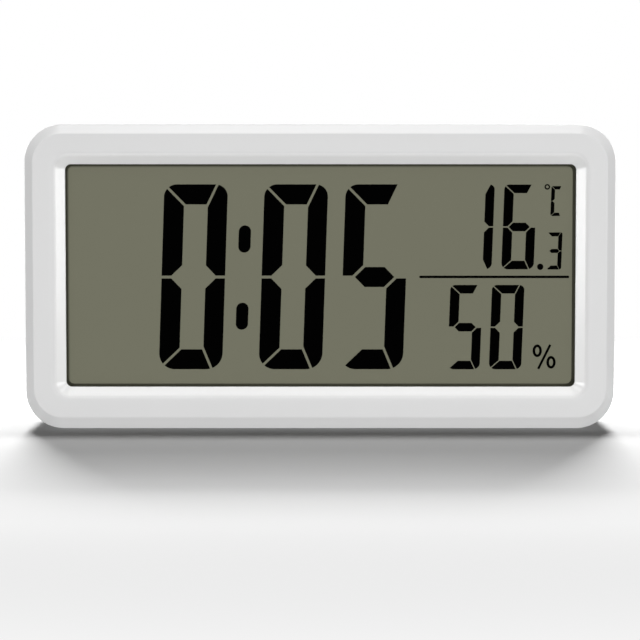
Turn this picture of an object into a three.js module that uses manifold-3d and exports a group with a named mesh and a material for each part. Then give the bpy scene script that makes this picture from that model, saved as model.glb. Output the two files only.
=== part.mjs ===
// Digital desk clock: a white moulded case with a sloping bezel round a wide liquid-crystal
// display, and at the back a battery bay, four setting buttons and a fold-out stand.
// Millimetres. +X is right seen from the front, -Y is the front, +Z is up.
// The origin lies on the surface that the clock stands on, under the middle of the case.
import * as THREE from 'three';
import { mergeVertices } from 'three/addons/utils/BufferGeometryUtils.js';
import Module from 'manifold-3d';

const wasm = await Module();
wasm.setup();

// Case
const CLOCK_WIDTH = 165;
const CLOCK_HEIGHT = 85;
const CORNER_RADIUS = 10.6;
const CASE_WALL = 2.2;
const REAR_PLATE = 2.2;
const FRONT_CHAMFER = 2.4;
const LOWER_CHAMFER = 3.3;
const REAR_ROUND = 2.5;
const PARTING_DEPTH = 15;
const LIP_DEPTH = 1.6;
const LIP_THICKNESS = 1.2;

// Clearances
const FIT = 0.3;
const BOND = 0.05;
const OVERRUN = 1;
const ROOT = 0.4;

// Window and its sloping bezel
const WINDOW_SIDE_MARGIN = 11.2;
const WINDOW_TOP_MARGIN = 11.0;
const WINDOW_BOTTOM_MARGIN = 11.8;
const WINDOW_CORNER = 1.6;
const BEVEL_WIDTH = 2.7;
const BEVEL_DEPTH = 2.2;
const BEVEL_CORNER = 2.6;
const CREST_ROUND = 2.0;
const WINDOW_LAND = 0.7;

// Display layers, front to back
const LENS_MARGIN = 2.0;
const LENS_THICKNESS = 1.5;
const LENS_CORNER = 2.0;
const LENS_RIB = 1.0;
const GASKET_SHOWING = 0.5;
const GASKET_THICKNESS = 0.8;
const SEGMENT_RELIEF = 0.1;
const FILM_THICKNESS = 0.2;
const CELL_MARGIN = 1.2;
const CELL_CORNER = 0.8;
const GLASS_THICKNESS = 1.1;
const CONTACT_LEDGE = 3.0;
const REFLECTOR_THICKNESS = 0.2;
const HOLDER_WALL = 1.2;
const HOLDER_BACK = 1.5;
const HOLDER_RIM = 9;
const HOLDER_CORNER = 5;
const ZEBRA_THICKNESS = 2.0;
const ZEBRA_END_MARGIN = 11;

// Figures on the display: sizes of a figure, its side and level strokes and the slits between them
const SLANT = 0.0345;
const TIME_FIGURE = {
  width: 17.8, height: 51.9, side: 5.55, level: 5.6, slit: 0.7, corner: 3.5, shoulder: 2.95,
};
const CLIMATE_FIGURE = {
  width: 9.1, height: 23.75, side: 2.6, level: 2.4, slit: 0.3, corner: 1.4, shoulder: 1.35,
};
const TENTHS_FIGURE = {
  width: 3.6, height: 10.4, side: 1.1, level: 1.1, slit: 0.2, corner: 0.5, shoulder: 0.55,
};
const TIP_SHARE = 0.61;
const FLAT_SHARE = 0.48;
const TIME_LEFT = [25.9, 54.0, 76.75];
const TIME_BELOW_MIDDLE = 26.5;
const COLON = { left: 49.4, above: 10.15, below: -11.55, width: 3.4, height: 7.6, lean: 0.75 };
const DIVIDER = { right: 1.3, length: 42.1, drop: 0.49, thickness: 0.6 };
const TEMPERATURE_RIGHT = [32.2, 20.4];
const TEMPERATURE_BASE = 1.65;
const TENTHS_RIGHT = 7.15;
const POINT_RIGHT = 9.45;
const POINT_RADIUS = 0.88;
const HUMIDITY_RIGHT = [35.45, 23.75];
const HUMIDITY_BASE = -26.5;

// Circuit board and what it carries
const BOARD_THICKNESS = 1.6;
const BOARD_SIDE_GAP = 1.0;
const BOARD_CORNER = 1.5;
const BOARD_SCREW_SPREAD = 42;
const CHIP = { radius: 7, height: 1.5, below: 14, shoulder: 5.6, shoulderHeight: 1.05, top: 2.8 };
const CRYSTAL = { radius: 1.0, length: 6, right: 14, below: 14 };
const SENSOR = { size: 2.6, height: 0.9 };
const SWITCH = { size: 6, height: 3.5, bore: 2.0 };
const PLUNGER = { radius: 1.6, length: 2.6, drop: 1.3 };

// Screws
const CASE_SCREW = {
  head: 2.0, headHeight: 1.5, headEdge: 0.45, shank: 1.1, point: 0.65, bite: 6, seat: 3,
  fromEdge: 5.7, fromSide: 18.5,
};
const BOARD_SCREW = { head: 1.9, headHeight: 1.1, headEdge: 0.35, shank: 0.9, point: 0.55, bite: 5 };
const BOSS_WALL = 1.0;
const COLUMN_WALL = 1.3;

// Battery bay, two AAA cells side by side
const CELL = { radius: 5.25, length: 44.5, nubRadius: 1.9, nub: 1.0, edge: 0.6, gap: 0.3, side: 0.4 };
const BAY_SIDE_MARGIN = 20.85;
const BAY_STANDOFF = 1.1;
const BAY_FLOOR = 1.2;
const BAY_WALL = 1.6;
const DOOR_CLEARANCE = 1.2;
const DOOR_THICKNESS = 1.8;
const DOOR_LAP = 1.2;
const DOOR_CORNER = 1.5;
const HOOK = { width: 3.2, spread: 18, reach: 1.85, thickness: 0.9, web: 1.15 };
const GRIP = { width: 12, height: 1.2, depth: 0.6, pitch: 2.4, count: 4, fromEnd: 5 };
const CONTACT = { width: 8, thickness: 0.4, fromFloor: 1.0, depth: 8, tab: 3, tabLength: 5.2 };
const SPRING = { radius: 2.9, tipRadius: 1.9, wire: 0.7, length: 4.2, turns: 2.5 };
const LEAD = { radius: 0.6, sway: 6, climb: 2.4, straightShare: 0.7 };

// Rear buttons and their recessed panel
const BUTTON = {
  radius: 3.2, flange: 4.2, flangeHeight: 0.8, stem: 1.6, dome: 0.5, shoulderDrop: 0.15, crown: 1.3,
  pitch: 11,
};
const BUTTON_NAMES = ['set', 'up', 'down', 'unit'];
const BUTTON_SIDE_MARGIN = 30.5;
const BUTTON_INSET = 0.2;
const PANEL = { width: 13, endMargin: 6.5, depth: 0.9, backing: 1.2, corner: 5 };
const VENT = { length: 16, height: 1.6, pitch: 3.2, count: 3, fromTop: 9, fromSide: 32.5 };

// Fold-out stand
const STAND = { width: 54, length: 46, thickness: 2.6, barrel: 1.9, inset: 0.3, corner: 7, rib: 1.4 };
const STAND_PIN = { radius: 0.9, bite: 1.2 };
const RECESS_WALL = 1.6;
const SCOOP = { halfWidth: 9, depth: 1.4, halfHeight: 4.5 };

// Facets
const CORNER_STEPS = 8;
const SMALL_CORNER = 3;
const SMALL_CORNER_STEPS = 3;
const ROUND_STEPS = 4;
const CREST_STEPS = 3;
const CURVE_STEPS = 4;
const FINE_SIDES = 24;
const SIDES = 16;
const SCREW_SIDES = 12;
const COIL_STEPS = 8;
const COIL_SIDES = 5;

const FINISH = {
  white: { color: 0xdcdcdc, roughness: 0.42, metalness: 0 },
  lens: { color: 0xf4f6f6, roughness: 0.05, metalness: 0, transparent: true, opacity: 0.25 },
  foam: { color: 0x1a1a1a, roughness: 0.95, metalness: 0 },
  film: { color: 0x737363, roughness: 0.5, metalness: 0 },
  glass: { color: 0xcfd6d2, roughness: 0.05, metalness: 0, transparent: true, opacity: 0.4 },
  mirror: { color: 0x9c9c8c, roughness: 0.3, metalness: 0.6 },
  natural: { color: 0xe2e2dc, roughness: 0.5, metalness: 0 },
  zebra: { color: 0x3a3a3c, roughness: 0.8, metalness: 0 },
  board: { color: 0x1f6b3a, roughness: 0.5, metalness: 0 },
  black: { color: 0x161616, roughness: 0.4, metalness: 0 },
  steel: { color: 0xb9bcc0, roughness: 0.3, metalness: 1 },
  cellWrap: { color: 0x4a5a66, roughness: 0.35, metalness: 0.2 },
  redLead: { color: 0xb3201c, roughness: 0.5, metalness: 0 },
  blackLead: { color: 0x1c1c1c, roughness: 0.5, metalness: 0 },
};

// Depths, measured back from the front face and added up layer by layer
const bezelBack = BEVEL_DEPTH + WINDOW_LAND;
const lensFront = bezelBack + BOND;
const lensBack = lensFront + LENS_THICKNESS;
const gasketFront = lensBack + BOND;
const gasketBack = gasketFront + GASKET_THICKNESS;
const filmFront = gasketBack + BOND + SEGMENT_RELIEF;
const filmBack = filmFront + FILM_THICKNESS;
const frontGlassFront = filmBack + BOND;
const frontGlassBack = frontGlassFront + GLASS_THICKNESS;
const rearGlassFront = frontGlassBack + BOND;
const rearGlassBack = rearGlassFront + GLASS_THICKNESS;
const reflectorFront = rearGlassBack + BOND;
const reflectorBack = reflectorFront + REFLECTOR_THICKNESS;
const holderPlateFront = reflectorBack + FIT;
const holderBack = holderPlateFront + HOLDER_BACK;
const boardFront = holderBack + FIT;
const boardBack = boardFront + BOARD_THICKNESS;
const bayFloorFront = boardBack + BAY_STANDOFF;
const bayFloorBack = bayFloorFront + BAY_FLOOR;
const cellCentre = bayFloorBack + FIT + CELL.radius;
const doorFront = cellCentre + CELL.radius + DOOR_CLEARANCE;
const clockDepth = doorFront + DOOR_THICKNESS;
const plateFront = clockDepth - REAR_PLATE;
const bossBack = PARTING_DEPTH - LIP_DEPTH - FIT;
const face = -clockDepth / 2;
const middle = CLOCK_HEIGHT / 2;
const halfWidth = CLOCK_WIDTH / 2;

// Rectangles in the plane of the face: x across, z up
const rectangle = (x0, x1, z0, z1) => ({ x0, x1, z0, z1 });
const grow = ({ x0, x1, z0, z1 }, by) => rectangle(x0 - by, x1 + by, z0 - by, z1 + by);
const centred = (x, z, width, height) => (
  rectangle(x - width / 2, x + width / 2, z - height / 2, z + height / 2)
);

const outline = rectangle(-halfWidth, halfWidth, 0, CLOCK_HEIGHT);
const cavity = grow(outline, -CASE_WALL);
const opening = rectangle(
  -halfWidth + WINDOW_SIDE_MARGIN,
  halfWidth - WINDOW_SIDE_MARGIN,
  WINDOW_BOTTOM_MARGIN,
  CLOCK_HEIGHT - WINDOW_TOP_MARGIN,
);
const openingMiddle = (opening.z0 + opening.z1) / 2;
const lensRect = grow(opening, LENS_MARGIN);
const cellRect = grow(opening, CELL_MARGIN);
const rearGlassRect = { ...cellRect, z0: cellRect.z0 + CONTACT_LEDGE, z1: cellRect.z1 - CONTACT_LEDGE };
const holderPocket = grow(cellRect, FIT);
const holderRect = grow(holderPocket, HOLDER_WALL);
const boardRect = { ...cellRect, x0: cavity.x0 + BOARD_SIDE_GAP, x1: cavity.x1 - BOARD_SIDE_GAP };
const ledgeCentre = CONTACT_LEDGE / 2;
const zebraRows = { top: cellRect.z1 - ledgeCentre, bottom: cellRect.z0 + ledgeCentre };
const zebraRect = (z) => (
  rectangle(opening.x0 + ZEBRA_END_MARGIN, opening.x1 - ZEBRA_END_MARGIN, z - ZEBRA_THICKNESS / 2,
    z + ZEBRA_THICKNESS / 2)
);

const bayWidth = 4 * CELL.radius + CELL.gap + 2 * CELL.side;
const plusEnd = 2 * FIT + CONTACT.thickness;
const minusEnd = plusEnd + SPRING.length;
const bayHeight = CELL.length + plusEnd + minusEnd;
const bayX = halfWidth - BAY_SIDE_MARGIN - BAY_WALL - bayWidth / 2;
const bayRect = centred(bayX, middle, bayWidth, bayHeight);
const doorRect = grow(bayRect, DOOR_LAP);
const cellOffset = CELL.radius + CELL.gap / 2;
const doorHingeZ = doorRect.z1 + FIT / 2;

const standHeight = STAND.length + STAND.barrel;
const standBottom = middle - standHeight / 2;
const hingeZ = standBottom + STAND.length;
const standBack = clockDepth - STAND.inset;
const hingeDepth = standBack - STAND.barrel;
const recessRect = rectangle(
  -STAND.width / 2 - FIT,
  STAND.width / 2 + FIT,
  standBottom - FIT,
  hingeZ + STAND.barrel + FIT,
);
const recessFloor = standBack - 2 * STAND.barrel - FIT;

const buttonX = -halfWidth + BUTTON_SIDE_MARGIN;
const buttonZ = BUTTON_NAMES.map((_, i) => middle + BUTTON.pitch * ((BUTTON_NAMES.length - 1) / 2 - i));
const panelHeight = BUTTON.pitch * (BUTTON_NAMES.length - 1) + 2 * PANEL.endMargin;
const panelRect = centred(buttonX, middle, PANEL.width, panelHeight);
const panelFace = clockDepth - PANEL.depth;
const padFront = plateFront - PANEL.backing;
const switchBack = boardBack + BOND + SWITCH.height;
const plungerFront = switchBack - PLUNGER.drop;
const plungerBack = plungerFront + PLUNGER.length;

const caseScrewPlaces = [-1, 1].flatMap((side) => [CASE_SCREW.fromEdge, CLOCK_HEIGHT - CASE_SCREW.fromEdge]
  .map((z) => ({ x: side * (halfWidth - CASE_SCREW.fromSide), z })));
const boardPost = BOARD_SCREW.head + FIT + ROOT;
const boardScrewPlaces = [-1, 1].flatMap((side) => [-1, 1]
  .map((end) => ({ x: side * (cavity.x1 + ROOT - boardPost), z: middle + end * BOARD_SCREW_SPREAD / 2 })));

// Solids: closed three.js geometry in, joined and cut bodies out
function toSolid(shape) {
  if (!shape.isBufferGeometry) {
    return shape;
  }
  const bare = shape.clone();
  bare.deleteAttribute('normal');
  bare.deleteAttribute('uv');
  const merged = mergeVertices(bare, 1e-4);
  return new wasm.Manifold(new wasm.Mesh({
    numProp: 3,
    vertProperties: Float32Array.from(merged.attributes.position.array),
    triVerts: Uint32Array.from(merged.index.array),
  }));
}

const join = (...shapes) => shapes.map(toSolid).reduce((whole, next) => whole.add(next));
const cut = (body, ...tools) => toSolid(body).subtract(join(...tools));

function toGeometry(solid) {
  const { vertProperties, triVerts } = solid.getMesh();
  const geometry = new THREE.BufferGeometry();
  geometry.setAttribute('position', new THREE.BufferAttribute(vertProperties, 3));
  geometry.setIndex(new THREE.BufferAttribute(triVerts, 1));
  geometry.computeVertexNormals();
  return geometry;
}

// Corner points of a rounded rectangle, anticlockwise seen from the front
function ringPoints({ x0, x1, z0, z1 }, radius, steps) {
  const centres = [
    [x1 - radius, z1 - radius],
    [x0 + radius, z1 - radius],
    [x0 + radius, z0 + radius],
    [x1 - radius, z0 + radius],
  ];
  return centres.flatMap(([x, z], quarter) => Array.from({ length: steps + 1 }, (_, i) => {
    const angle = (quarter + i / steps) * Math.PI / 2;
    return [x + radius * Math.cos(angle), z + radius * Math.sin(angle)];
  }));
}

// Skin over rounded rectangles at rising depths, closed by a fan at each end
function loft(rings) {
  const widest = Math.max(...rings.map(({ radius }) => radius));
  const steps = widest > SMALL_CORNER ? CORNER_STEPS : SMALL_CORNER_STEPS;
  const count = 4 * (steps + 1);
  const last = (rings.length - 1) * count;
  const points = rings.flatMap(({ rect, radius, depth }) => (
    ringPoints(rect, radius, steps).flatMap(([x, z]) => [x, face + depth, z])
  ));
  const triangles = [];
  for (let i = 0; i < last; i += 1) {
    const next = i % count === count - 1 ? i + 1 - count : i + 1;
    triangles.push(i, i + count, next, next, i + count, next + count);
  }
  for (let i = 1; i < count - 1; i += 1) {
    triangles.push(0, i, i + 1, last, last + i + 1, last + i);
  }
  const geometry = new THREE.BufferGeometry();
  geometry.setAttribute('position', new THREE.Float32BufferAttribute(points, 3));
  geometry.setIndex(triangles);
  return geometry;
}

const slab = (rect, radius, front, back) => loft([
  { rect, radius, depth: front },
  { rect, radius, depth: back },
]);

const ringSlab = (outer, outerRadius, inner, innerRadius, front, back) => cut(
  slab(outer, outerRadius, front, back),
  slab(inner, innerRadius, front - OVERRUN, back + OVERRUN),
);

function block({ x0, x1, z0, z1 }, front, back) {
  const geometry = new THREE.BoxGeometry(x1 - x0, back - front, z1 - z0);
  return geometry.translate((x0 + x1) / 2, face + (front + back) / 2, (z0 + z1) / 2);
}

// Flat outline in the plane of the face, given thickness from front to back
function sheet(shape, front, back) {
  const geometry = new THREE.ExtrudeGeometry(shape, {
    depth: back - front,
    bevelEnabled: false,
    curveSegments: CURVE_STEPS,
  });
  return geometry.rotateX(Math.PI / 2).translate(0, face + back, 0);
}

// Round bar from front to back
function peg({ x, z }, radius, front, back, sides = SIDES) {
  const geometry = new THREE.CylinderGeometry(radius, radius, back - front, sides);
  return geometry.translate(x, face + (front + back) / 2, z);
}

// Round bar across the clock
function crossbar(x0, x1, radius, depth, z, sides = SIDES) {
  const geometry = new THREE.CylinderGeometry(radius, radius, x1 - x0, sides);
  return geometry.rotateZ(Math.PI / 2).translate((x0 + x1) / 2, face + depth, z);
}

// Profile of [radius, depth] turned about an axis that runs from front to back
function turned({ x, z }, profile, sides = SIDES) {
  const points = profile.map(([radius, depth]) => new THREE.Vector2(radius, depth));
  return new THREE.LatheGeometry(points, sides).translate(x, face, z);
}

// Tube of round section along a curve
function tube(curve, radius, sides, steps) {
  const corners = Array.from({ length: sides }, (_, i) => {
    const angle = 2 * Math.PI * i / sides;
    return new THREE.Vector2(radius * Math.cos(angle), radius * Math.sin(angle));
  });
  return new THREE.ExtrudeGeometry(new THREE.Shape(corners), { steps, extrudePath: curve });
}

const clock = new THREE.Group();

function addPiece(name, shape, finish) {
  const geometry = shape.isBufferGeometry ? shape : toGeometry(shape);
  const piece = new THREE.Mesh(geometry, new THREE.MeshStandardMaterial({ name, ...finish }));
  piece.name = name;
  clock.add(piece);
}

// Front half of the case
function frontFrame() {
  const faceRect = { ...grow(outline, -FRONT_CHAMFER), z0: outline.z0 + LOWER_CHAMFER };
  const shell = loft([
    { rect: faceRect, radius: CORNER_RADIUS - FRONT_CHAMFER, depth: 0 },
    { rect: outline, radius: CORNER_RADIUS, depth: FRONT_CHAMFER },
    { rect: outline, radius: CORNER_RADIUS, depth: PARTING_DEPTH },
  ]);
  const inside = slab(cavity, CORNER_RADIUS - CASE_WALL, bezelBack, PARTING_DEPTH + OVERRUN);
  const crest = bezelCrest();
  const aperture = loft([
    { ...crest[0], depth: -OVERRUN },
    ...crest,
    { rect: opening, radius: WINDOW_CORNER, depth: BEVEL_DEPTH },
    { rect: opening, radius: WINDOW_CORNER, depth: bezelBack + OVERRUN },
  ]);
  const ribInside = grow(lensRect, FIT);
  const lensRib = ringSlab(grow(ribInside, LENS_RIB), LENS_CORNER + FIT + LENS_RIB, ribInside,
    LENS_CORNER + FIT, bezelBack - ROOT, lensBack);
  const bossRadius = CASE_SCREW.shank + FIT + BOSS_WALL;
  const bosses = caseScrewPlaces.map((place) => peg(place, bossRadius, bezelBack - ROOT, bossBack));
  const gussets = caseScrewPlaces.map(({ x, z }) => {
    const wallZ = z < middle ? cavity.z0 - ROOT : cavity.z1 + ROOT;
    return block(rectangle(x - ROOT, x + ROOT, Math.min(z, wallZ), Math.max(z, wallZ)),
      bezelBack - ROOT, bossBack);
  });
  const posts = boardScrewPlaces.map((place) => peg(place, boardPost, bezelBack - ROOT, boardFront - FIT));
  const casePilots = caseScrewPlaces.map((place) => (
    peg(place, CASE_SCREW.shank + FIT, bossBack - CASE_SCREW.bite, bossBack + OVERRUN)));
  const boardPilots = boardScrewPlaces.map((place) => (
    peg(place, BOARD_SCREW.shank + FIT, boardFront - FIT - BOARD_SCREW.bite, boardFront + OVERRUN)));
  const body = join(cut(shell, inside, aperture), lensRib, ...bosses, ...gussets, ...posts);
  return cut(body, ...casePilots, ...boardPilots);
}

// Rounded edge between the face and the bezel's slope, as rings from the face inwards
function bezelCrest() {
  const slope = Math.atan2(BEVEL_DEPTH, BEVEL_WIDTH);
  const start = BEVEL_WIDTH + CREST_ROUND * Math.tan(slope / 2);
  return Array.from({ length: CREST_STEPS + 1 }, (_, i) => {
    const angle = slope * i / CREST_STEPS;
    return {
      rect: grow(opening, start - CREST_ROUND * Math.sin(angle)),
      radius: BEVEL_CORNER,
      depth: CREST_ROUND * (1 - Math.cos(angle)),
    };
  });
}

// One stroke of a figure as an outline, in the figure's own corner frame
function strokeOutline(letter, { width, height, side, level, slit, shoulder }) {
  const half = slit / 2;
  const mid = height / 2;
  const under = height - level;
  const inner = side + half;
  const rise = level / 2;
  const tip = side * TIP_SHARE;
  const flat = side * FLAT_SHARE;
  const notch = mid + half + side - flat;
  const outlines = {
    a: [[half, height], [width - shoulder - half, height], [width - inner, under], [inner, under]],
    b: [[width - shoulder + half, height], [width, height], [width, mid + half],
      [width - flat, mid + half], [width - side, notch], [width - side, under]],
    f: [[0, height - half], [side, under - half], [side, notch], [flat, mid + half], [0, mid + half]],
    g: [[tip, mid], [tip + rise, mid + rise], [width - tip - rise, mid + rise], [width - tip, mid],
      [width - tip - rise, mid - rise], [tip + rise, mid - rise]],
  };
  const mirrored = { d: 'a', c: 'b', e: 'f' };
  const points = outlines[letter]
    ?? outlines[mirrored[letter]].map(([x, z]) => [x, height - z]);
  return new THREE.Shape(points.map(([x, z]) => new THREE.Vector2(x, z)));
}

const LIT = { 0: 'abcdef', 1: 'bc', 3: 'abcdg', 5: 'acdfg', 6: 'acdefg' };

const lean = (geometry) => geometry.applyMatrix4(
  new THREE.Matrix4().makeShear(0, 0, 0, 0, SLANT, 0),
);

// A seven-stroke figure standing at left, base, its outer corners rounded
function figure(character, size, left, base) {
  const strokes = [...LIT[character]].map((letter) => (
    sheet(strokeOutline(letter, size), filmFront - SEGMENT_RELIEF, filmFront + FILM_THICKNESS / 2)));
  const frame = slab(rectangle(0, size.width, 0, size.height), size.corner, 0, clockDepth);
  const solids = strokes.map((geometry) => toSolid(geometry).intersect(toSolid(frame)));
  return lean(toGeometry(join(...solids))).translate(left, 0, base);
}

// Everything lit on the display, laid out from the window's left and right edges
function figures() {
  const front = filmFront - SEGMENT_RELIEF;
  const back = filmFront + FILM_THICKNESS / 2;
  const { x0, x1 } = opening;
  const time = ['0', '0', '5'].map((character, i) => (
    figure(character, TIME_FIGURE, x0 + TIME_LEFT[i], openingMiddle - TIME_BELOW_MIDDLE)));
  const dots = [COLON.above, COLON.below].map((rise, i) => slab(
    centred(x0 + COLON.left + (i === 0 ? COLON.lean : 0), openingMiddle + rise, COLON.width, COLON.height),
    COLON.width / 2, front, back));
  const divider = block(rectangle(x1 - DIVIDER.right - DIVIDER.length, x1 - DIVIDER.right,
    openingMiddle - DIVIDER.drop - DIVIDER.thickness / 2,
    openingMiddle - DIVIDER.drop + DIVIDER.thickness / 2), front, back);
  const temperature = ['1', '6'].map((character, i) => (
    figure(character, CLIMATE_FIGURE, x1 - TEMPERATURE_RIGHT[i], openingMiddle + TEMPERATURE_BASE)));
  const tenths = figure('3', TENTHS_FIGURE, x1 - TENTHS_RIGHT, openingMiddle + TEMPERATURE_BASE);
  const point = peg({ x: x1 - POINT_RIGHT, z: openingMiddle + TEMPERATURE_BASE + POINT_RADIUS },
    POINT_RADIUS, front, back);
  const humidity = ['5', '0'].map((character, i) => (
    figure(character, CLIMATE_FIGURE, x1 - HUMIDITY_RIGHT[i], openingMiddle + HUMIDITY_BASE)));
  return join(...time, ...dots, divider, ...temperature, tenths, point, ...humidity);
}

// Display face: a film with the lit strokes standing just proud of it
function polarizer() {
  const film = slab(cellRect, CELL_CORNER, filmFront, filmBack);
  const footprint = slab(cellRect, CELL_CORNER, 0, filmBack);
  return toSolid(film).add(figures().intersect(toSolid(footprint)));
}

// Moulded frame behind the lens: pocket for the cell, slots for the contact strips
function lcdHolder() {
  const radius = CELL_CORNER + FIT + HOLDER_WALL;
  const rim = ringSlab(holderRect, radius, holderPocket, CELL_CORNER + FIT, lensBack + FIT, holderBack);
  const windowRect = { x0: rearGlassRect.x0 + HOLDER_RIM, x1: rearGlassRect.x1 - HOLDER_RIM,
    z0: rearGlassRect.z0 + HOLDER_RIM, z1: rearGlassRect.z1 - HOLDER_RIM };
  const slots = Object.values(zebraRows).map((z) => (
    block(grow(zebraRect(z), FIT), lensBack, holderBack + OVERRUN)));
  const back = slab(holderRect, radius, holderPlateFront, holderBack);
  const lightening = slab(windowRect, HOLDER_CORNER, lensBack, holderBack + OVERRUN);
  return join(rim, cut(back, lightening, ...slots));
}

function mainBoard() {
  const holes = boardScrewPlaces.map((place) => (
    peg(place, BOARD_SCREW.shank + FIT, boardFront - OVERRUN, boardBack + OVERRUN)));
  return cut(slab(boardRect, BOARD_CORNER, boardFront, boardBack), ...holes);
}

// Headed screw, its tip towards the front of the clock
function screw(place, { head, headHeight, headEdge, shank, point }, tip, seat) {
  const top = seat + headHeight;
  return turned(place, [[0, tip], [point, tip], [shank, tip + shank], [shank, seat], [head, seat],
    [head, top - headEdge], [head - headEdge, top], [0, top]], SCREW_SIDES);
}

function tactSwitch(place) {
  const front = boardBack + BOND;
  const body = block(centred(place.x, place.z, SWITCH.size, SWITCH.size), front, switchBack);
  return cut(body, peg(place, PLUNGER.radius + FIT, switchBack - SWITCH.bore, switchBack + OVERRUN));
}

// Button: domed cap, retaining flange under the panel and a stem down to the switch
function button(place) {
  const top = clockDepth - BUTTON_INSET;
  const flangeBack = padFront - FIT;
  const flangeFront = flangeBack - BUTTON.flangeHeight;
  return turned(place, [[0, plungerBack + FIT], [BUTTON.stem, plungerBack + FIT],
    [BUTTON.stem, flangeFront], [BUTTON.flange, flangeFront], [BUTTON.flange, flangeBack],
    [BUTTON.radius, flangeBack], [BUTTON.radius, top - BUTTON.dome],
    [BUTTON.radius - BUTTON.dome, top - BUTTON.shoulderDrop], [BUTTON.crown, top], [0, top]], FINE_SIDES);
}

// Battery cell lying upright, its nub up where plus is 1 and down where it is -1
function batteryCell(x, plus) {
  const { radius, length, nubRadius, nub, edge } = CELL;
  const profile = [[0, 0], [radius - edge, 0], [radius, edge], [radius, length - nub - edge],
    [radius - edge, length - nub], [nubRadius, length - nub], [nubRadius, length], [0, length]];
  const points = profile.map(([r, along]) => new THREE.Vector2(r, along));
  const geometry = new THREE.LatheGeometry(points, FINE_SIDES).rotateX(plus * Math.PI / 2);
  const foot = plus > 0 ? bayRect.z0 + minusEnd : bayRect.z1 - minusEnd;
  return geometry.translate(x, face + cellCentre, foot);
}

// Spring that presses on a cell, rising from z towards the cell; direction is 1 up, -1 down
function coilCurve(x, z, direction) {
  const curve = new THREE.Curve();
  const rise = SPRING.length - FIT - SPRING.wire / 2;
  curve.getPoint = (t, target = new THREE.Vector3()) => {
    const angle = 2 * Math.PI * SPRING.turns * t;
    const radius = SPRING.radius + (SPRING.tipRadius - SPRING.radius) * t;
    return target.set(x + radius * Math.cos(angle), face + cellCentre + radius * Math.sin(angle),
      z + direction * rise * t);
  };
  return curve;
}

// Least distance from wire to wire between neighbouring turns of a spring
function coilGap() {
  const samples = Math.round(SPRING.turns * COIL_STEPS);
  const points = coilCurve(0, 0, 1).getPoints(samples);
  let least = Infinity;
  points.forEach((point, i) => points.slice(i + COIL_STEPS - 1).forEach((other) => {
    least = Math.min(least, point.distanceTo(other) - SPRING.wire);
  }));
  return least;
}

const contactRect = (x, z0) => (
  rectangle(x - CONTACT.width / 2, x + CONTACT.width / 2, z0, z0 + CONTACT.thickness)
);
const contactFront = bayFloorBack + CONTACT.fromFloor;
const contactPlate = (x, z0) => block(contactRect(x, z0), contactFront, contactFront + CONTACT.depth);
const topContactZ = bayRect.z1 - FIT - CONTACT.thickness;
const bottomContactZ = bayRect.z0 + FIT;

// Tab of a contact, out through the bay's upper wall
const contactTab = (x) => block(
  rectangle(x - CONTACT.tab / 2, x + CONTACT.tab / 2, topContactZ, topContactZ + CONTACT.tabLength),
  contactFront,
  contactFront + CONTACT.thickness,
);

const spring = (x, z, direction) => tube(coilCurve(x, z, direction), SPRING.wire / 2, COIL_SIDES,
  Math.round(SPRING.turns * COIL_STEPS));

const positiveContact = (x) => join(contactPlate(x, topContactZ), contactTab(x));
const negativeContact = (x) => join(contactPlate(x, topContactZ), contactTab(x), spring(x, topContactZ, -1));

// Strip that joins the two cells at the bottom of the bay
function batteryLink(minusX, plusX) {
  const strip = block(rectangle(minusX - CONTACT.width / 2, plusX + CONTACT.width / 2, bottomContactZ,
    bottomContactZ + CONTACT.thickness), contactFront, contactFront + CONTACT.depth);
  return join(strip, spring(minusX, bottomContactZ + CONTACT.thickness, 1));
}

// Lead from a contact's tab down to the board, a soft bend at each end
function lead(x, sway) {
  const tabEnd = topContactZ + CONTACT.tabLength - CONTACT.tab / 2;
  const start = contactFront - FIT;
  const end = boardBack + FIT;
  const straight = (start - end) * LEAD.straightShare;
  const route = new THREE.CubicBezierCurve3(
    new THREE.Vector3(x, face + start, tabEnd),
    new THREE.Vector3(x, face + start - straight, tabEnd),
    new THREE.Vector3(x + sway, face + end + straight, tabEnd + LEAD.climb),
    new THREE.Vector3(x + sway, face + end, tabEnd + LEAD.climb),
  );
  return tube(route, LEAD.radius, COIL_STEPS, COIL_STEPS);
}

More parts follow.
